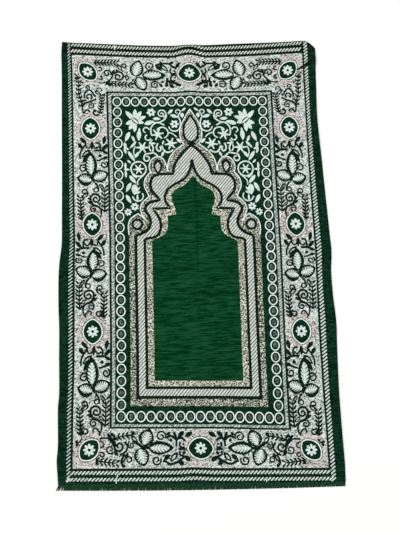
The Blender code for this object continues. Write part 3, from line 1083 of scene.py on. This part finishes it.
def arch_shapes():
    """The arch: flecked, twilled and flecked bands, the plain field, and the finial and bosses."""
    shapes = [("dark flecked", arch_area(OUTER_EDGE)), ("twilled cream", arch_area(OUTER_LINE))]
    for run in OUTER_EDGE[1:]:
        rim = stroke(smooth_line(run), RIM_WIDTH)
        shapes += [("cream figure", mirrored(rim, hand)) for hand in (1, -1)]
    shapes += [("bottle green", line) for line in arch_strokes(OUTER_LINE, OUTER_LINE_WIDTH)]
    shapes.append(("flecked cream", arch_area(INNER_LINE)))
    shapes += [("bottle green", line) for line in arch_strokes(INNER_LINE, INNER_LINE_WIDTH)]
    shapes.append(("field green", arch_area(FIELD_EDGE)))
    # a strip of painted shade along the middle fold of the field
    shapes += drawn((FIELD_FOLD_SHADE,), "painted fold shade", "field green")

    shapes.append(("bottle green", round_outline(0.0, NECK_Y, NECK_HALF_WIDTH, NECK_HALF_HEIGHT)))
    finial = run_points(FINIAL_LINE)
    shapes.append(("twilled cream", finial + [(-x, y) for x, y in finial[-2:0:-1]]))
    shapes += [("bottle green", stroke(mirrored(finial, hand), FINIAL_LINE_WIDTH)) for hand in (1, -1)]
    for hand in (1, -1):
        x, y = hand * SHOULDER_X, SHOULDER_Y
        shapes.append(("bottle green", round_outline(x, y, SHOULDER_RING, SHOULDER_RING)))
        shapes.append(("twilled cream", round_outline(x, y, SHOULDER_CORE, SHOULDER_CORE)))
        for boss, yarn in ((DROP_BOSS, "bottle green"), (DROP_CORE, "twilled cream")):
            shapes.append((yarn, mirrored(leaf_outline(*boss, DROP_TAPER), hand)))
    return shapes


def rope_strokes(rope):
    """The slanting strokes of a rope that runs across, with their ends cut along the stripe."""
    half = rope.stroke_width / 2
    slim = half * STROKE_SLIM
    strokes = []
    for k in range(int((rope.end - rope.start - rope.slant) / rope.pitch) + 1):
        foot = rope.start + k * rope.pitch
        head = foot + rope.slant
        strokes.append([
            (foot - slim, rope.low), (foot + slim, rope.low), (head + half, rope.high - STROKE_CUT),
            (head + slim, rope.high), (head - slim, rope.high), (foot - half, rope.low + STROKE_CUT),
        ])
    return strokes


def rope_shapes():
    """The ropes up both sides, which are drawn across and turned upright, and the cross ones."""
    shapes = []
    for rope in SIDE_ROPES:
        shapes += [("side rope", [(y, x) for x, y in outline]) for outline in rope_strokes(rope)]
    for rope in CROSS_ROPES:
        shapes += [("rope cream", outline) for outline in rope_strokes(rope)]
    return shapes


def charted_shapes():
    """The sheet's woven pattern and the painted shade of its folds, from the ground up: (yarn, outline
    in the chart).
    """
    shapes = [(band.yarn, box_outline(band)) for band in BANDS]
    shapes += shaded_shapes()
    shapes += side_shapes()
    for spray in (TOP_SPRAY, HEAD_SPRAY, FOOT_SPRAY):
        shapes += halves(spray, "bottle green", "cream ground")
    shapes += medallion_shapes()
    shapes += chain_shapes()
    shapes += halves(SPANDREL_SPRAY, "spandrel white", "spandrel green")
    shapes += arch_shapes()
    shapes += rope_shapes()
    # painted shade of the corner crease, drawn in the hem's darkest green
    shapes += drawn((CORNER_CREASE_SHADE,), "hem green", "hem green")
    shapes += drawn(LOOSE_THREADS, "cream figure", "hem green")
    return shapes


# ---------------------------------------------------------------- the woven sheet

COLUMN_COUNT, ROW_COUNT = 55, 90
FOLD_STEPS, HEM_STEPS = 6, 4
EDGE_MARGIN = 0.8  # how far inside its rim the sheet's pattern ends
LEAST_AREA = 0.5  # square millimetres, below which a shape cut off by the fold is dropped
FILL_OUTLINES, CUT_TOLERANCE = 1, 1e-4  # the cutting keeps what lies inside an outline
SHARP_ANGLE = 40  # degrees

# Where the faces lie on the bake: the woven face on the left, the rest of the sheet on the right.
FACE_U, FACE_SPAN_U = 0.008, 0.615
BACK_U, BACK_SPAN_U = 0.64, 0.35
MAP_V, MAP_SPAN_V = 0.006, 0.988
MAP_HALF_X, MAP_LOW_Y, MAP_LENGTH = 345.0, -545.0, 1110.0
WALL_WIDTH = 6.0  # a wall's width on the bake, as millimetres of the back
UNDER_START, UNDER_END = 8.0, 1088.0
LINING_START = 1091.0  # the inside of the fold and flap
FOLD_START = 1125.0  # and their outside
BACK_LENGTH = 1168.0

Sheet = namedtuple("Sheet", "points faces yarns uvs")


def across_of(i):
    return -HALF_WIDTH + 2 * HALF_WIDTH * i / COLUMN_COUNT


def rim_place(i, k):
    """A station of the sheet's grid: column i from the left, row k from the foot to the fold."""
    across = across_of(i)
    foot = edge_y(FOOT, sheet_x(across, FOOT.middle))
    fold = head_y(across) - FOLD_OUTSIDE
    y = foot + (fold - foot) * k / ROW_COUNT
    return sheet_x(across, y), y


def rim_stations():
    """The stations round the woven face, counter-clockwise from the left end of the foot."""
    foot = [(i, 0) for i in range(COLUMN_COUNT)]
    right = [(COLUMN_COUNT, k) for k in range(ROW_COUNT)]
    head = [(i, ROW_COUNT) for i in range(COLUMN_COUNT, 0, -1)]
    left = [(0, k) for k in range(ROW_COUNT, 0, -1)]
    return foot + right + head + left


def kept_inside(x, y):
    """A laid point of the pattern, held just inside the rim."""
    y = max(y, edge_y(FOOT, x) + EDGE_MARGIN)
    y = min(y, fold_y(x, y) - EDGE_MARGIN)
    x = max(x, sheet_x(-HALF_WIDTH, y) + EDGE_MARGIN)
    x = min(x, sheet_x(HALF_WIDTH, y) - EDGE_MARGIN)
    return x, y


def signed_area(outline):
    """Square millimetres, above zero where the outline runs counter-clockwise."""
    pairs = zip(outline, outline[1:] + outline[:1])
    return sum(x0 * y1 - x1 * y0 for (x0, y0), (x1, y1) in pairs) / 2


def laid_shapes():
    """The charted shapes as they lie, counter-clockwise, without those that the fold hides."""
    shapes = []
    for yarn, outline in charted_shapes():
        laid = [kept_inside(*lay(x, y)) for x, y in outline]
        size = signed_area(laid)
        if abs(size) > LEAST_AREA:
            shapes.append((yarn, laid if size > 0 else laid[::-1]))
    return shapes


def woven_face():
    """The upper skin, cut along every edge of the pattern. Gives the sheet and its rim's points."""
    stations = rim_stations()
    flat = [rim_place(i, k) for i, k in stations]
    outlines = [list(range(len(flat)))]
    flat += [rim_place(i, k) for i in range(1, COLUMN_COUNT) for k in range(1, ROW_COUNT)]
    shapes = laid_shapes()
    for _, outline in shapes:
        outlines.append(list(range(len(flat), len(flat) + len(outline))))
        flat += outline
    cut = delaunay_2d_cdt(
        [Vector(point) for point in flat], [], outlines, FILL_OUTLINES, CUT_TOLERANCE, True
    )
    places, _, faces, sources, _, covers = cut

    yarn_of = [YARNS.index("side green")] + [YARNS.index(yarn) for yarn, _ in shapes]
    kept = [(face, yarn_of[max(cover)]) for face, cover in zip(faces, covers) if 0 in cover]
    points = [(x, y, sheet_low(x, y) + THICKNESS) for x, y in places]
    uvs = [[face_uv(*points[corner][:2]) for corner in face] for face, _ in kept]
    sheet = Sheet(points, [list(face) for face, _ in kept], [yarn for _, yarn in kept], uvs)
    at = {source: place for place, given in enumerate(sources) for source in given}
    return sheet, {station: at[number] for number, station in enumerate(stations)}


def face_uv(x, y):
    return (
        FACE_U + FACE_SPAN_U * (x + MAP_HALF_X) / (2 * MAP_HALF_X),
        MAP_V + MAP_SPAN_V * (y - MAP_LOW_Y) / MAP_LENGTH,
    )


def back_uv(across, run):
    return (
        BACK_U + BACK_SPAN_U * (across + MAP_HALF_X) / (2 * MAP_HALF_X),
        MAP_V + MAP_SPAN_V * run / BACK_LENGTH,
    )


def add_point(sheet, x, y, z):
    """Adds a point to the sheet. Gives its number."""
    sheet.points.append((x, y, z))
    return len(sheet.points) - 1


def add_face(sheet, corners, maps, yarn="plain back"):
    """A face off the woven side, with its corners' places on the bake."""
    sheet.faces.append(list(corners))
    sheet.yarns.append(YARNS.index(yarn))
    sheet.uvs.append([back_uv(*place) for place in maps])


def add_underside(sheet):
    """The flat back of the weave, up to the fold. Gives its points by station."""
    under = {}
    for i in range(COLUMN_COUNT + 1):
        for k in range(ROW_COUNT + 1):
            x, y = rim_place(i, k)
            under[i, k] = add_point(sheet, x, y, sheet_low(x, y))
    for i in range(COLUMN_COUNT):
        for k in range(ROW_COUNT):
            cell = ((i, k), (i, k + 1), (i + 1, k + 1), (i + 1, k))
            maps = [(across_of(a), under_run(b)) for a, b in cell]
            add_face(sheet, [under[place] for place in cell], maps)
    return under


def add_walls(sheet, rim, under):
    """The thickness of the cloth along the foot and both selvedges."""
    for a, b in wall_pairs():
        add_face(sheet, (under[a], under[b], rim[b], rim[a]), wall_map(a, b), "side green")


def add_hem(sheet, rim, under):
    """The fold at the head and the flap under the rug: outside, lining, cut end and both sides."""
    outer, inner = [], []
    for i in range(COLUMN_COUNT + 1):
        outside, inside = hem_section(across_of(i))
        outer.append([rim[i, ROW_COUNT]] + [add_point(sheet, *place) for place in outside])
        inner.append([under[i, ROW_COUNT]] + [add_point(sheet, *place) for place in inside])
    last = FOLD_STEPS + HEM_STEPS
    outside_runs = [FOLD_START + hem_run(step, FOLD_OUTSIDE) for step in range(last + 1)]
    inside_runs = [LINING_START + hem_run(step, FOLD_INSIDE) for step in range(last + 1)]

    def strip(i, corners, near, far, yarn="plain back"):
        left, right = across_of(i), across_of(i + 1)
        maps = ((left, near), (right, near), (right, far), (left, far))
        add_face(sheet, corners, maps, yarn)

    for i in range(COLUMN_COUNT):
        near_outer, far_outer, near_inner, far_inner = outer[i], outer[i + 1], inner[i], inner[i + 1]
        for step in range(last):
            corners = near_outer[step], far_outer[step], far_outer[step + 1], near_outer[step + 1]
            strip(i, corners, outside_runs[step], outside_runs[step + 1], "side green")
            corners = near_inner[step + 1], far_inner[step + 1], far_inner[step], near_inner[step]
            strip(i, corners, inside_runs[step + 1], inside_runs[step])
        corners = near_outer[last], far_outer[last], far_inner[last], near_inner[last]
        strip(i, corners, BACK_LENGTH - WALL_WIDTH, BACK_LENGTH)
    for i, side in ((0, -1), (COLUMN_COUNT, 1)):
        edge, wall = side * HALF_WIDTH, side * (HALF_WIDTH + WALL_WIDTH)
        for step in range(last):
            a, b = (step + 1, step) if side < 0 else (step, step + 1)
            near, far = outside_runs[a], outside_runs[b]
            corners = inner[i][a], inner[i][b], outer[i][b], outer[i][a]
            add_face(sheet, corners, ((wall, near), (wall, far), (edge, far), (edge, near)))


def wall_pairs():
    """Neighbouring stations along the foot and both selvedges, counter-clockwise."""
    stations = rim_stations()
    pairs = zip(stations, stations[1:] + stations[:1])
    return [(a, b) for a, b in pairs if not (a[1] == ROW_COUNT and b[1] == ROW_COUNT)]


def under_run(k):
    return UNDER_START + (UNDER_END - UNDER_START) * k / ROW_COUNT


def wall_map(a, b):
    """A wall's corners on the bake, just outside the underside's own edge."""
    if a[1] == b[1]:
        low = UNDER_START - WALL_WIDTH
        left, right = across_of(a[0]), across_of(b[0])
        return (left, UNDER_START), (right, UNDER_START), (right, low), (left, low)
    edge = across_of(a[0])
    out = edge + math.copysign(WALL_WIDTH, edge)
    near, far = under_run(a[1]), under_run(b[1])
    return (edge, near), (edge, far), (out, far), (out, near)


def hem_run(step, radius):
    """How far along the fold and flap a numbered point of their section lies."""
    turned = min(step, FOLD_STEPS)
    return turned * math.pi * radius / FOLD_STEPS + (step - turned) * HEM / HEM_STEPS


def hem_section(across):
    """The outside and inside of the fold and flap at one column, after the point they start from."""
    fold = head_y(across) - FOLD_OUTSIDE
    x = sheet_x(across, fold)
    middle = lift(x, fold) + FOLD_OUTSIDE
    outside, inside = [], []
    for step in range(1, FOLD_STEPS):
        turn = math.pi * step / FOLD_STEPS
        for skin, radius in ((outside, FOLD_OUTSIDE), (inside, FOLD_INSIDE)):
            skin.append((x, fold + radius * math.sin(turn), middle + radius * math.cos(turn)))
    for step in range(HEM_STEPS + 1):
        y = fold - step * HEM / HEM_STEPS
        x = sheet_x(across, y)
        low = lift(x, y)
        outside.append((x, y, low))
        inside.append((x, y, low + THICKNESS))
    return outside, inside


def in_metres(points):
    return [(x * MM, (y - ORIGIN_Y) * MM, z * MM) for x, y, z in points]


def put_in_scene(name, data):
    """A new object of some mesh, light or camera."""
    thing = bpy.data.objects.new(name, data)
    bpy.context.scene.collection.objects.link(thing)
    return thing


def smooth_mesh(name, points, faces, materials):
    mesh = bpy.data.meshes.new(name)
    mesh.from_pydata(in_metres(points), [], faces)
    for material in materials:
        mesh.materials.append(material)
    mesh.polygons.foreach_set("use_smooth", [True] * len(mesh.polygons))
    return mesh


def make_sheet():
    sheet, rim = woven_face()
    under = add_underside(sheet)
    add_walls(sheet, rim, under)
    add_hem(sheet, rim, under)
    mesh = smooth_mesh("woven_sheet", sheet.points, sheet.faces, [chenille(yarn) for yarn in YARNS])
    mesh.polygons.foreach_set("material_index", sheet.yarns)
    uv_map = mesh.uv_layers.new(name="OFBake")
    uv_map.data.foreach_set("uv", [value for face in sheet.uvs for uv in face for value in uv])
    mesh.set_sharp_from_angle(angle=math.radians(SHARP_ANGLE))
    mesh.update()
    return put_in_scene("woven_sheet", mesh)


# ---------------------------------------------------------------- the cut fringe

STRANDS_PER_LOCK = 5
LOCK_PITCH = 4.0
LOCK_UNEVEN = 0.6  # how much shorter than the others a strand may be
LOCK_GATHER = 0.15  # how much of its way from the lock's middle a strand comes back in
FRINGE_MARGIN = 1.5  # from the last locks to the sheet's corners
CORNER_FLARE, CORNER_REACH = 7.0, 18.0  # the locks at the left corner lean out
STRAND_STEPS, STRAND_SIDES = 5, 4
STRAND_ROOT, STRAND_TIP = 0.62, 0.5  # half widths
STRAND_GAP = 0.05  # between the weave's foot and a strand
STRAND_HIGH, STRAND_FALL = 1.25, 0.75  # the height of its middle at the root, and the loss of it
FALL_HASTE = 1.4  # above 1, it is down on the floor before its tip
STRAND_LEAN, STRAND_STRAY = 0.4, 0.3
LEAN_BEND = 1.5  # above 1, it leans more towards its tip
WAVE_LEAST, WAVE_MOST = 0.1, 0.35
WAVE_RUN, WAVE_START = 5.0, 6  # radians: along a strand, and the most that it may start at
FRINGE_SEED = 7


def strand_points(root_x, lean, end_y, wave, phase):
    """The middle line of one strand, from the sheet's foot to its tip on the floor."""
    root_y = edge_y(FOOT, root_x) - STRAND_GAP
    line = []
    for k in range(STRAND_STEPS + 1):
        share = k / STRAND_STEPS
        sway = wave * math.sin(phase + WAVE_RUN * share) * share
        x = root_x + lean * share**LEAN_BEND + sway
        y = root_y + (end_y - root_y) * share
        line.append((x, y, STRAND_HIGH - STRAND_FALL * ease(share * FALL_HASTE)))
    return line


def fringe_lines():
    """The middle lines of all the strands, lock by lock from the left."""
    draw = random.Random(FRINGE_SEED)
    locks = int(2 * (HALF_WIDTH - FRINGE_MARGIN) // LOCK_PITCH) + 1
    first = -(locks - 1) * LOCK_PITCH / 2
    lines = []
    for lock in range(locks):
        middle = first + lock * LOCK_PITCH
        corner = ease(1.0 - (middle + HALF_WIDTH) / CORNER_REACH)
        lock_lean = STRAND_LEAN * draw.uniform(-1.0, 1.0) - CORNER_FLARE * corner
        for strand in range(STRANDS_PER_LOCK):
            off = (strand - (STRANDS_PER_LOCK - 1) / 2) * LOCK_PITCH / STRANDS_PER_LOCK
            end_y = edge_y(TIPS, middle) + LOCK_UNEVEN * draw.random()
            lean = lock_lean - off * LOCK_GATHER + draw.uniform(-STRAND_STRAY, STRAND_STRAY)
            wave = draw.uniform(WAVE_LEAST, WAVE_MOST)
            phase = draw.uniform(0, WAVE_START)
            lines.append(strand_points(middle + off, lean, end_y, wave, phase))
    return lines


def make_fringe():
    """Strands of the rug's own yarn, in small locks, running out of the foot of the weave."""
    points, faces = [], []
    for line in fringe_lines():
        start = len(points)
        for k, (x, y, z) in enumerate(line):
            half = STRAND_ROOT + (STRAND_TIP - STRAND_ROOT) * k / STRAND_STEPS
            z = max(z, half)
            points += [(x - half, y, z), (x, y, z + half), (x + half, y, z), (x, y, z - half)]
        rings = [range(at, at + STRAND_SIDES) for at in range(start, len(points), STRAND_SIDES)]
        for low, high in zip(rings, rings[1:]):
            for a in range(STRAND_SIDES):
                b = (a + 1) % STRAND_SIDES
                faces.append((low[a], low[b], high[b], high[a]))
        faces += [tuple(reversed(rings[0])), tuple(rings[-1])]
    mesh = smooth_mesh("cut_fringe", points, faces, [fringe_yarn()])
    mesh.update()
    return put_in_scene("cut_fringe", mesh)


# ---------------------------------------------------------------- finishes

WAVE_BAND = math.pi / 10  # bands of a wave texture of scale 1 are this many metres apart
MIX_SHARE, MIX_UNDER, MIX_OVER, MIX_RESULT = 0, 6, 7, 2  # a colour mix's sockets
STREAK_HEIGHT = 3.4  # mm, one pick of weft; the real picks lie 2 mm apart, too fine to show
TUFT = 3.2  # mm, tufts of the other yarn that show through, drawn at twice their real size
PILE = 1.6  # mm, the fuzz of the cut pile
NAP = 140.0  # mm, how broadly the brushed pile changes shade
NAP_SHADE = 0.16
TUFT_STRETCH = 1.3
STREAK_RANGE = (0.38, 0.62)  # the values of the noise between which a shade turns
NAP_RANGE = PILE_RANGE = (0.3, 0.7)
GROOVE_RANGE = (0.5, 0.0)  # the lower half of a rib is its groove
TUFT_EDGE = 0.1
PILE_ROUGHNESS = (0.85, 1.0)
PILE_RELIEF = 0.5  # mm

# light and dark: the shades that the pile goes between. tuft: the yarn that shows through, over
# the share of the noise above tuft_from. groove: the colour between two ribs, partly the darker yarn
# that shows there, as in the twill's hatch, and partly painted shade in the hollow, and rib how much
# of it shows. Ribs lie rib_pitch mm apart at the slant in degrees. streak: how many times longer than
# high a run of one shade is. grain: how coarse its spots are beside the other yarns'. The twill's
# ribs are 4 mm apart on the real rug, too fine to show, so they are drawn 6 mm apart.
Look = namedtuple(
    "Look", "light dark tuft tuft_from groove rib rib_pitch slant streak grain", defaults=(1.0,)
)
LOOKS = {
    "side green": Look("#133625", "#011b0f", "#2a4a3a", 0.62, "#011b0f", 0.3, 4.8, 0, 5),
    "hem green": Look("#162a1b", "#060f06", "#22352a", 0.6, "#060f06", 0.3, 4.8, 0, 5),
    "field green": Look("#174c2e", "#002a12", "#225638", 0.64, "#002a12", 0.3, 4.8, 0, 9),
    # painted shade of the middle fold: the field's green made darker
    "painted fold shade": Look("#0f3f27", "#00230e", "#184c30", 0.64, "#00230e", 0.3, 4.8, 0, 9),
    "bottle green": Look("#12291f", "#08160f", "#1c3529", 0.62, "#08160f", 0.3, 4.8, 0, 3),
    "spandrel green": Look("#123826", "#031d10", "#1e4532", 0.6, "#031d10", 0.3, 4.8, 0, 4),
    "medallion green": Look("#0f3622", "#051f12", "#184029", 0.62, "#051f12", 0.3, 4.8, 0, 3),
    "cream ground": Look("#e7f1eb", "#abb3ac", "#3b4a42", 0.53, "#788780", 0.3, 5.4, 40, 2),
    "shaded ground": Look("#e6e1da", "#b2aca5", "#49453f", 0.525, "#85817a", 0.3, 5.4, 40, 2),
    "guard stripe": Look("#d6e0da", "#98a59d", "#35463d", 0.55, "#35463d", 0.75, 6.0, 40, 2),
    "flecked cream": Look("#f5f6e2", "#5d5d48", "#151e11", 0.51, "#68684f", 0.2, 4.8, 0, 1, 0.85),
    "dark flecked": Look("#f0f3de", "#3a4030", "#07110b", 0.475, "#434a3a", 0.2, 4.8, 0, 1, 0.85),
    "twilled cream": Look("#dfe3da", "#bfc5bb", "#87928a", 0.62, "#33433a", 1.1, 6.0, 48, 2),
    "cream figure": Look("#eef6f2", "#d2ded9", "#a3b3ab", 0.62, "#d2ded9", 0.15, 4.8, 0, 2),
    "spandrel white": Look("#dde8e3", "#c0cec8", "#9fb0a8", 0.62, "#c0cec8", 0.15, 4.8, 0, 2),
    "side rope": Look("#d8e1d9", "#b4bfb7", "#949f97", 0.6, "#b4bfb7", 0.15, 4.8, 0, 2),
    "rope cream": Look("#dfe4d8", "#bcc5b7", "#98a396", 0.6, "#bcc5b7", 0.15, 4.8, 0, 2),
    "grey core": Look("#6f8178", "#33443b", "#1d2b24", 0.52, "#33443b", 0.2, 4.8, 0, 1),
    "plain back": Look("#1d4c32", "#0e301e", "#93a094", 0.6, "#0e301e", 0.6, 4.2, 0, 6),
}
YARNS = tuple(LOOKS)
FRINGE_LIGHT, FRINGE_DARK = "#2f5f42", "#0c2b19"
PLY_PITCH, PLY_SLANT = 1.2, 35  # mm between the plies of the fringe, and the slant of their twist
LOCK_SPOT = 3.0  # mm
LOCK_RANGE = (0.35, 0.65)
FRINGE_ROUGHNESS = (0.8, 0.95)
PLY_RELIEF = 0.2  # mm
FLOOR_SHADE = "#f6f6f4"


def linear(colour):
    """An sRGB hex colour as linear light."""
    parts = [int(colour[k : k + 2], 16) / 255 for k in (1, 3, 5)]
    return tuple(p / 12.92 if p <= 0.04045 else ((p + 0.055) / 1.055) ** 2.4 for p in parts) + (1.0,)


def add_node(tree, kind, inputs=None, **settings):
    """Adds a node. An input is a plain value or another node's output, which is linked to it."""
    node = tree.nodes.new(kind)
    for name, value in settings.items():
        setattr(node, name, value)
    for name, value in (inputs or {}).items():
        if isinstance(value, bpy.types.NodeSocket):
            tree.links.new(value, node.inputs[name])
        else:
            node.inputs[name].default_value = value
    return node


def blended(tree, share, under, over):
    """One colour over another, by a share."""
    inputs = {MIX_SHARE: share, MIX_UNDER: under, MIX_OVER: over}
    return add_node(tree, "ShaderNodeMix", inputs, data_type="RGBA").outputs[MIX_RESULT]


def spread(tree, value, low, high, to_low=0.0, to_high=1.0):
    """A value between low and high, brought to the range that is wanted."""
    names = ("Value", "From Min", "From Max", "To Min", "To Max")
    inputs = dict(zip(names, (value, low, high, to_low, to_high)))
    return add_node(tree, "ShaderNodeMapRange", inputs).outputs["Result"]


def mottle(tree, place, size, stretch=1.0, detail=2.0):
    """Soft spots of a size in millimetres, drawn out across the rug by the stretch."""
    drawn_out = add_node(tree, "ShaderNodeMapping", {"Vector": place, "Scale": (1 / stretch, 1, 1)})
    inputs = {"Vector": drawn_out.outputs["Vector"], "Scale": 1 / (size * MM), "Detail": detail}
    return add_node(tree, "ShaderNodeTexNoise", inputs).outputs["Fac"]


def ribs(tree, place, pitch, slant):
    """Ribs a pitch apart in millimetres, that run across the rug at a slant and wander a little."""
    turn = (0.0, 0.0, -math.radians(slant))
    turned = add_node(tree, "ShaderNodeMapping", {"Vector": place, "Rotation": turn})
    inputs = {"Vector": turned.outputs["Vector"], "Scale": WAVE_BAND / (pitch * MM),
              "Distortion": 1.2, "Detail": 1.0, "Detail Scale": 0.8}
    return add_node(tree, "ShaderNodeTexWave", inputs, bands_direction="Y").outputs["Fac"]


def new_finish(name):
    """A material with nothing in it yet, and its node tree."""
    material = bpy.data.materials.new(name)
    material.use_nodes = True
    material.node_tree.nodes.clear()
    return material, material.node_tree


def chenille(name):
    """Chenille, a cut furry weft: no gloss at all, streaked along the weft and full of tufts."""
    look = LOOKS[name]
    material, tree = new_finish(name.replace(" ", "_") + "_chenille")
    place = add_node(tree, "ShaderNodeTexCoord").outputs["Object"]

    streaks = mottle(tree, place, STREAK_HEIGHT * look.grain, look.streak)
    shade = spread(tree, streaks, *STREAK_RANGE)
    nap = spread(tree, mottle(tree, place, NAP, detail=1.0), *NAP_RANGE, 0.0, NAP_SHADE)
    rib = ribs(tree, place, look.rib_pitch, look.slant)
    groove = spread(tree, rib, *GROOVE_RANGE, 0.0, look.rib)
    tufts = mottle(tree, place, TUFT * look.grain, TUFT_STRETCH)
    tuft = spread(tree, tufts, look.tuft_from, look.tuft_from + TUFT_EDGE)
    pile = mottle(tree, place, PILE)

    colour = blended(tree, shade, linear(look.dark), linear(look.light))
    colour = blended(tree, nap, colour, linear(look.dark))
    # the ribs' grooves made darker: partly painted shade, partly the darker yarn that shows there
    colour = blended(tree, groove, colour, linear(look.groove))
    colour = blended(tree, tuft, colour, linear(look.tuft))
    height = add_node(tree, "ShaderNodeMath", {0: rib, 1: pile}, operation="ADD").outputs["Value"]
    relief = {"Strength": 0.6, "Distance": PILE_RELIEF * MM, "Height": height}
    bump = add_node(tree, "ShaderNodeBump", relief)
    shader = add_node(tree, "ShaderNodeBsdfPrincipled", {
        "Base Color": colour,
        "Roughness": spread(tree, pile, *PILE_RANGE, *PILE_ROUGHNESS),
        "Normal": bump.outputs["Normal"],
        "Specular IOR Level": 0.02,
        "Sheen Weight": 0.02,
        "Sheen Roughness": 0.6,
        "Sheen Tint": linear(look.light),
    })
    add_node(tree, "ShaderNodeOutputMaterial", {"Surface": shader.outputs["BSDF"]})
    return material


def fringe_yarn():
    """Cut ends of the green yarn: matt and twisted, so lighter plies show between dark ones."""
    material, tree = new_finish("cut_yarn")
    place = add_node(tree, "ShaderNodeTexCoord").outputs["Object"]
    twist = ribs(tree, place, PLY_PITCH, PLY_SLANT)
    lock = spread(tree, mottle(tree, place, LOCK_SPOT), *LOCK_RANGE)
    share = add_node(tree, "ShaderNodeMath", {0: twist, 1: lock}, operation="MULTIPLY").outputs["Value"]
    relief = {"Strength": 0.5, "Distance": PLY_RELIEF * MM, "Height": twist}
    bump = add_node(tree, "ShaderNodeBump", relief)
    shader = add_node(tree, "ShaderNodeBsdfPrincipled", {
        "Base Color": blended(tree, share, linear(FRINGE_DARK), linear(FRINGE_LIGHT)),
        "Roughness": spread(tree, lock, 0.0, 1.0, *FRINGE_ROUGHNESS),
        "Normal": bump.outputs["Normal"],
        "Specular IOR Level": 0.15,
    })
    add_node(tree, "ShaderNodeOutputMaterial", {"Surface": shader.outputs["BSDF"]})
    return material


def studio_paper():
    """Smooth matt paper: almost white, even and without gloss."""
    material, tree = new_finish("studio_paper")
    shader = add_node(tree, "ShaderNodeBsdfPrincipled", {
        "Base Color": linear(FLOOR_SHADE),
        "Roughness": 1.0,
        "Specular IOR Level": 0.0,
    })
    add_node(tree, "ShaderNodeOutputMaterial", {"Surface": shader.outputs["BSDF"]})
    return material


# ---------------------------------------------------------------- the studio

FLOOR_SIZE = 12.0  # metres
SKY_LIGHT = 0.78
Lamp = namedtuple("Lamp", "name place size watts")
LAMPS = (
    Lamp("window_side", (-1.6, 1.4, 2.6), 2.2, 46.0),
    Lamp("fill", (1.9, -1.2, 2.4), 2.6, 16.0),
)
CAMERA_PLACE = (0.001, -0.1867, 1.2043)  # metres
CAMERA_TURN = (7.198, -0.291, -1.981)  # degrees
CAMERA_LENS = 33.77  # mm, on a 36 mm sensor
WHITE = (1.0, 1.0, 1.0, 1.0)


def make_floor():
    half = FLOOR_SIZE / 2
    corners = [(-half, -half, 0), (half, -half, 0), (half, half, 0), (-half, half, 0)]
    mesh = bpy.data.meshes.new("floor")
    mesh.from_pydata(corners, [], [(0, 1, 2, 3)])
    mesh.materials.append(studio_paper())
    put_in_scene("floor", mesh)


def make_lights():
    world = bpy.data.worlds.new("studio")
    bpy.context.scene.world = world
    world.use_nodes = True
    sky = world.node_tree.nodes["Background"]
    sky.inputs["Strength"].default_value = SKY_LIGHT
    sky.inputs["Color"].default_value = WHITE
    for lamp in LAMPS:
        data = bpy.data.lights.new(lamp.name, "AREA")
        data.size = lamp.size
        data.energy = lamp.watts
        light = put_in_scene(lamp.name, data)
        light.location = lamp.place
        light.rotation_euler = Vector(lamp.place).to_track_quat("Z", "Y").to_euler()


def make_camera():
    data = bpy.data.cameras.new("camera")
    data.lens = CAMERA_LENS
    camera = put_in_scene("camera", data)
    camera.location = CAMERA_PLACE
    camera.rotation_euler = [math.radians(turn) for turn in CAMERA_TURN]
    bpy.context.scene.camera = camera


# ---------------------------------------------------------------- the rug put together

rug = make_sheet()
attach(rug, "root")
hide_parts("rug_cloth")

fringe = make_fringe()
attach(fringe, "root")
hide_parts("bottom_fringe")

make_floor()
make_lights()
make_camera()
bpy.context.scene.view_settings.view_transform = "Standard"
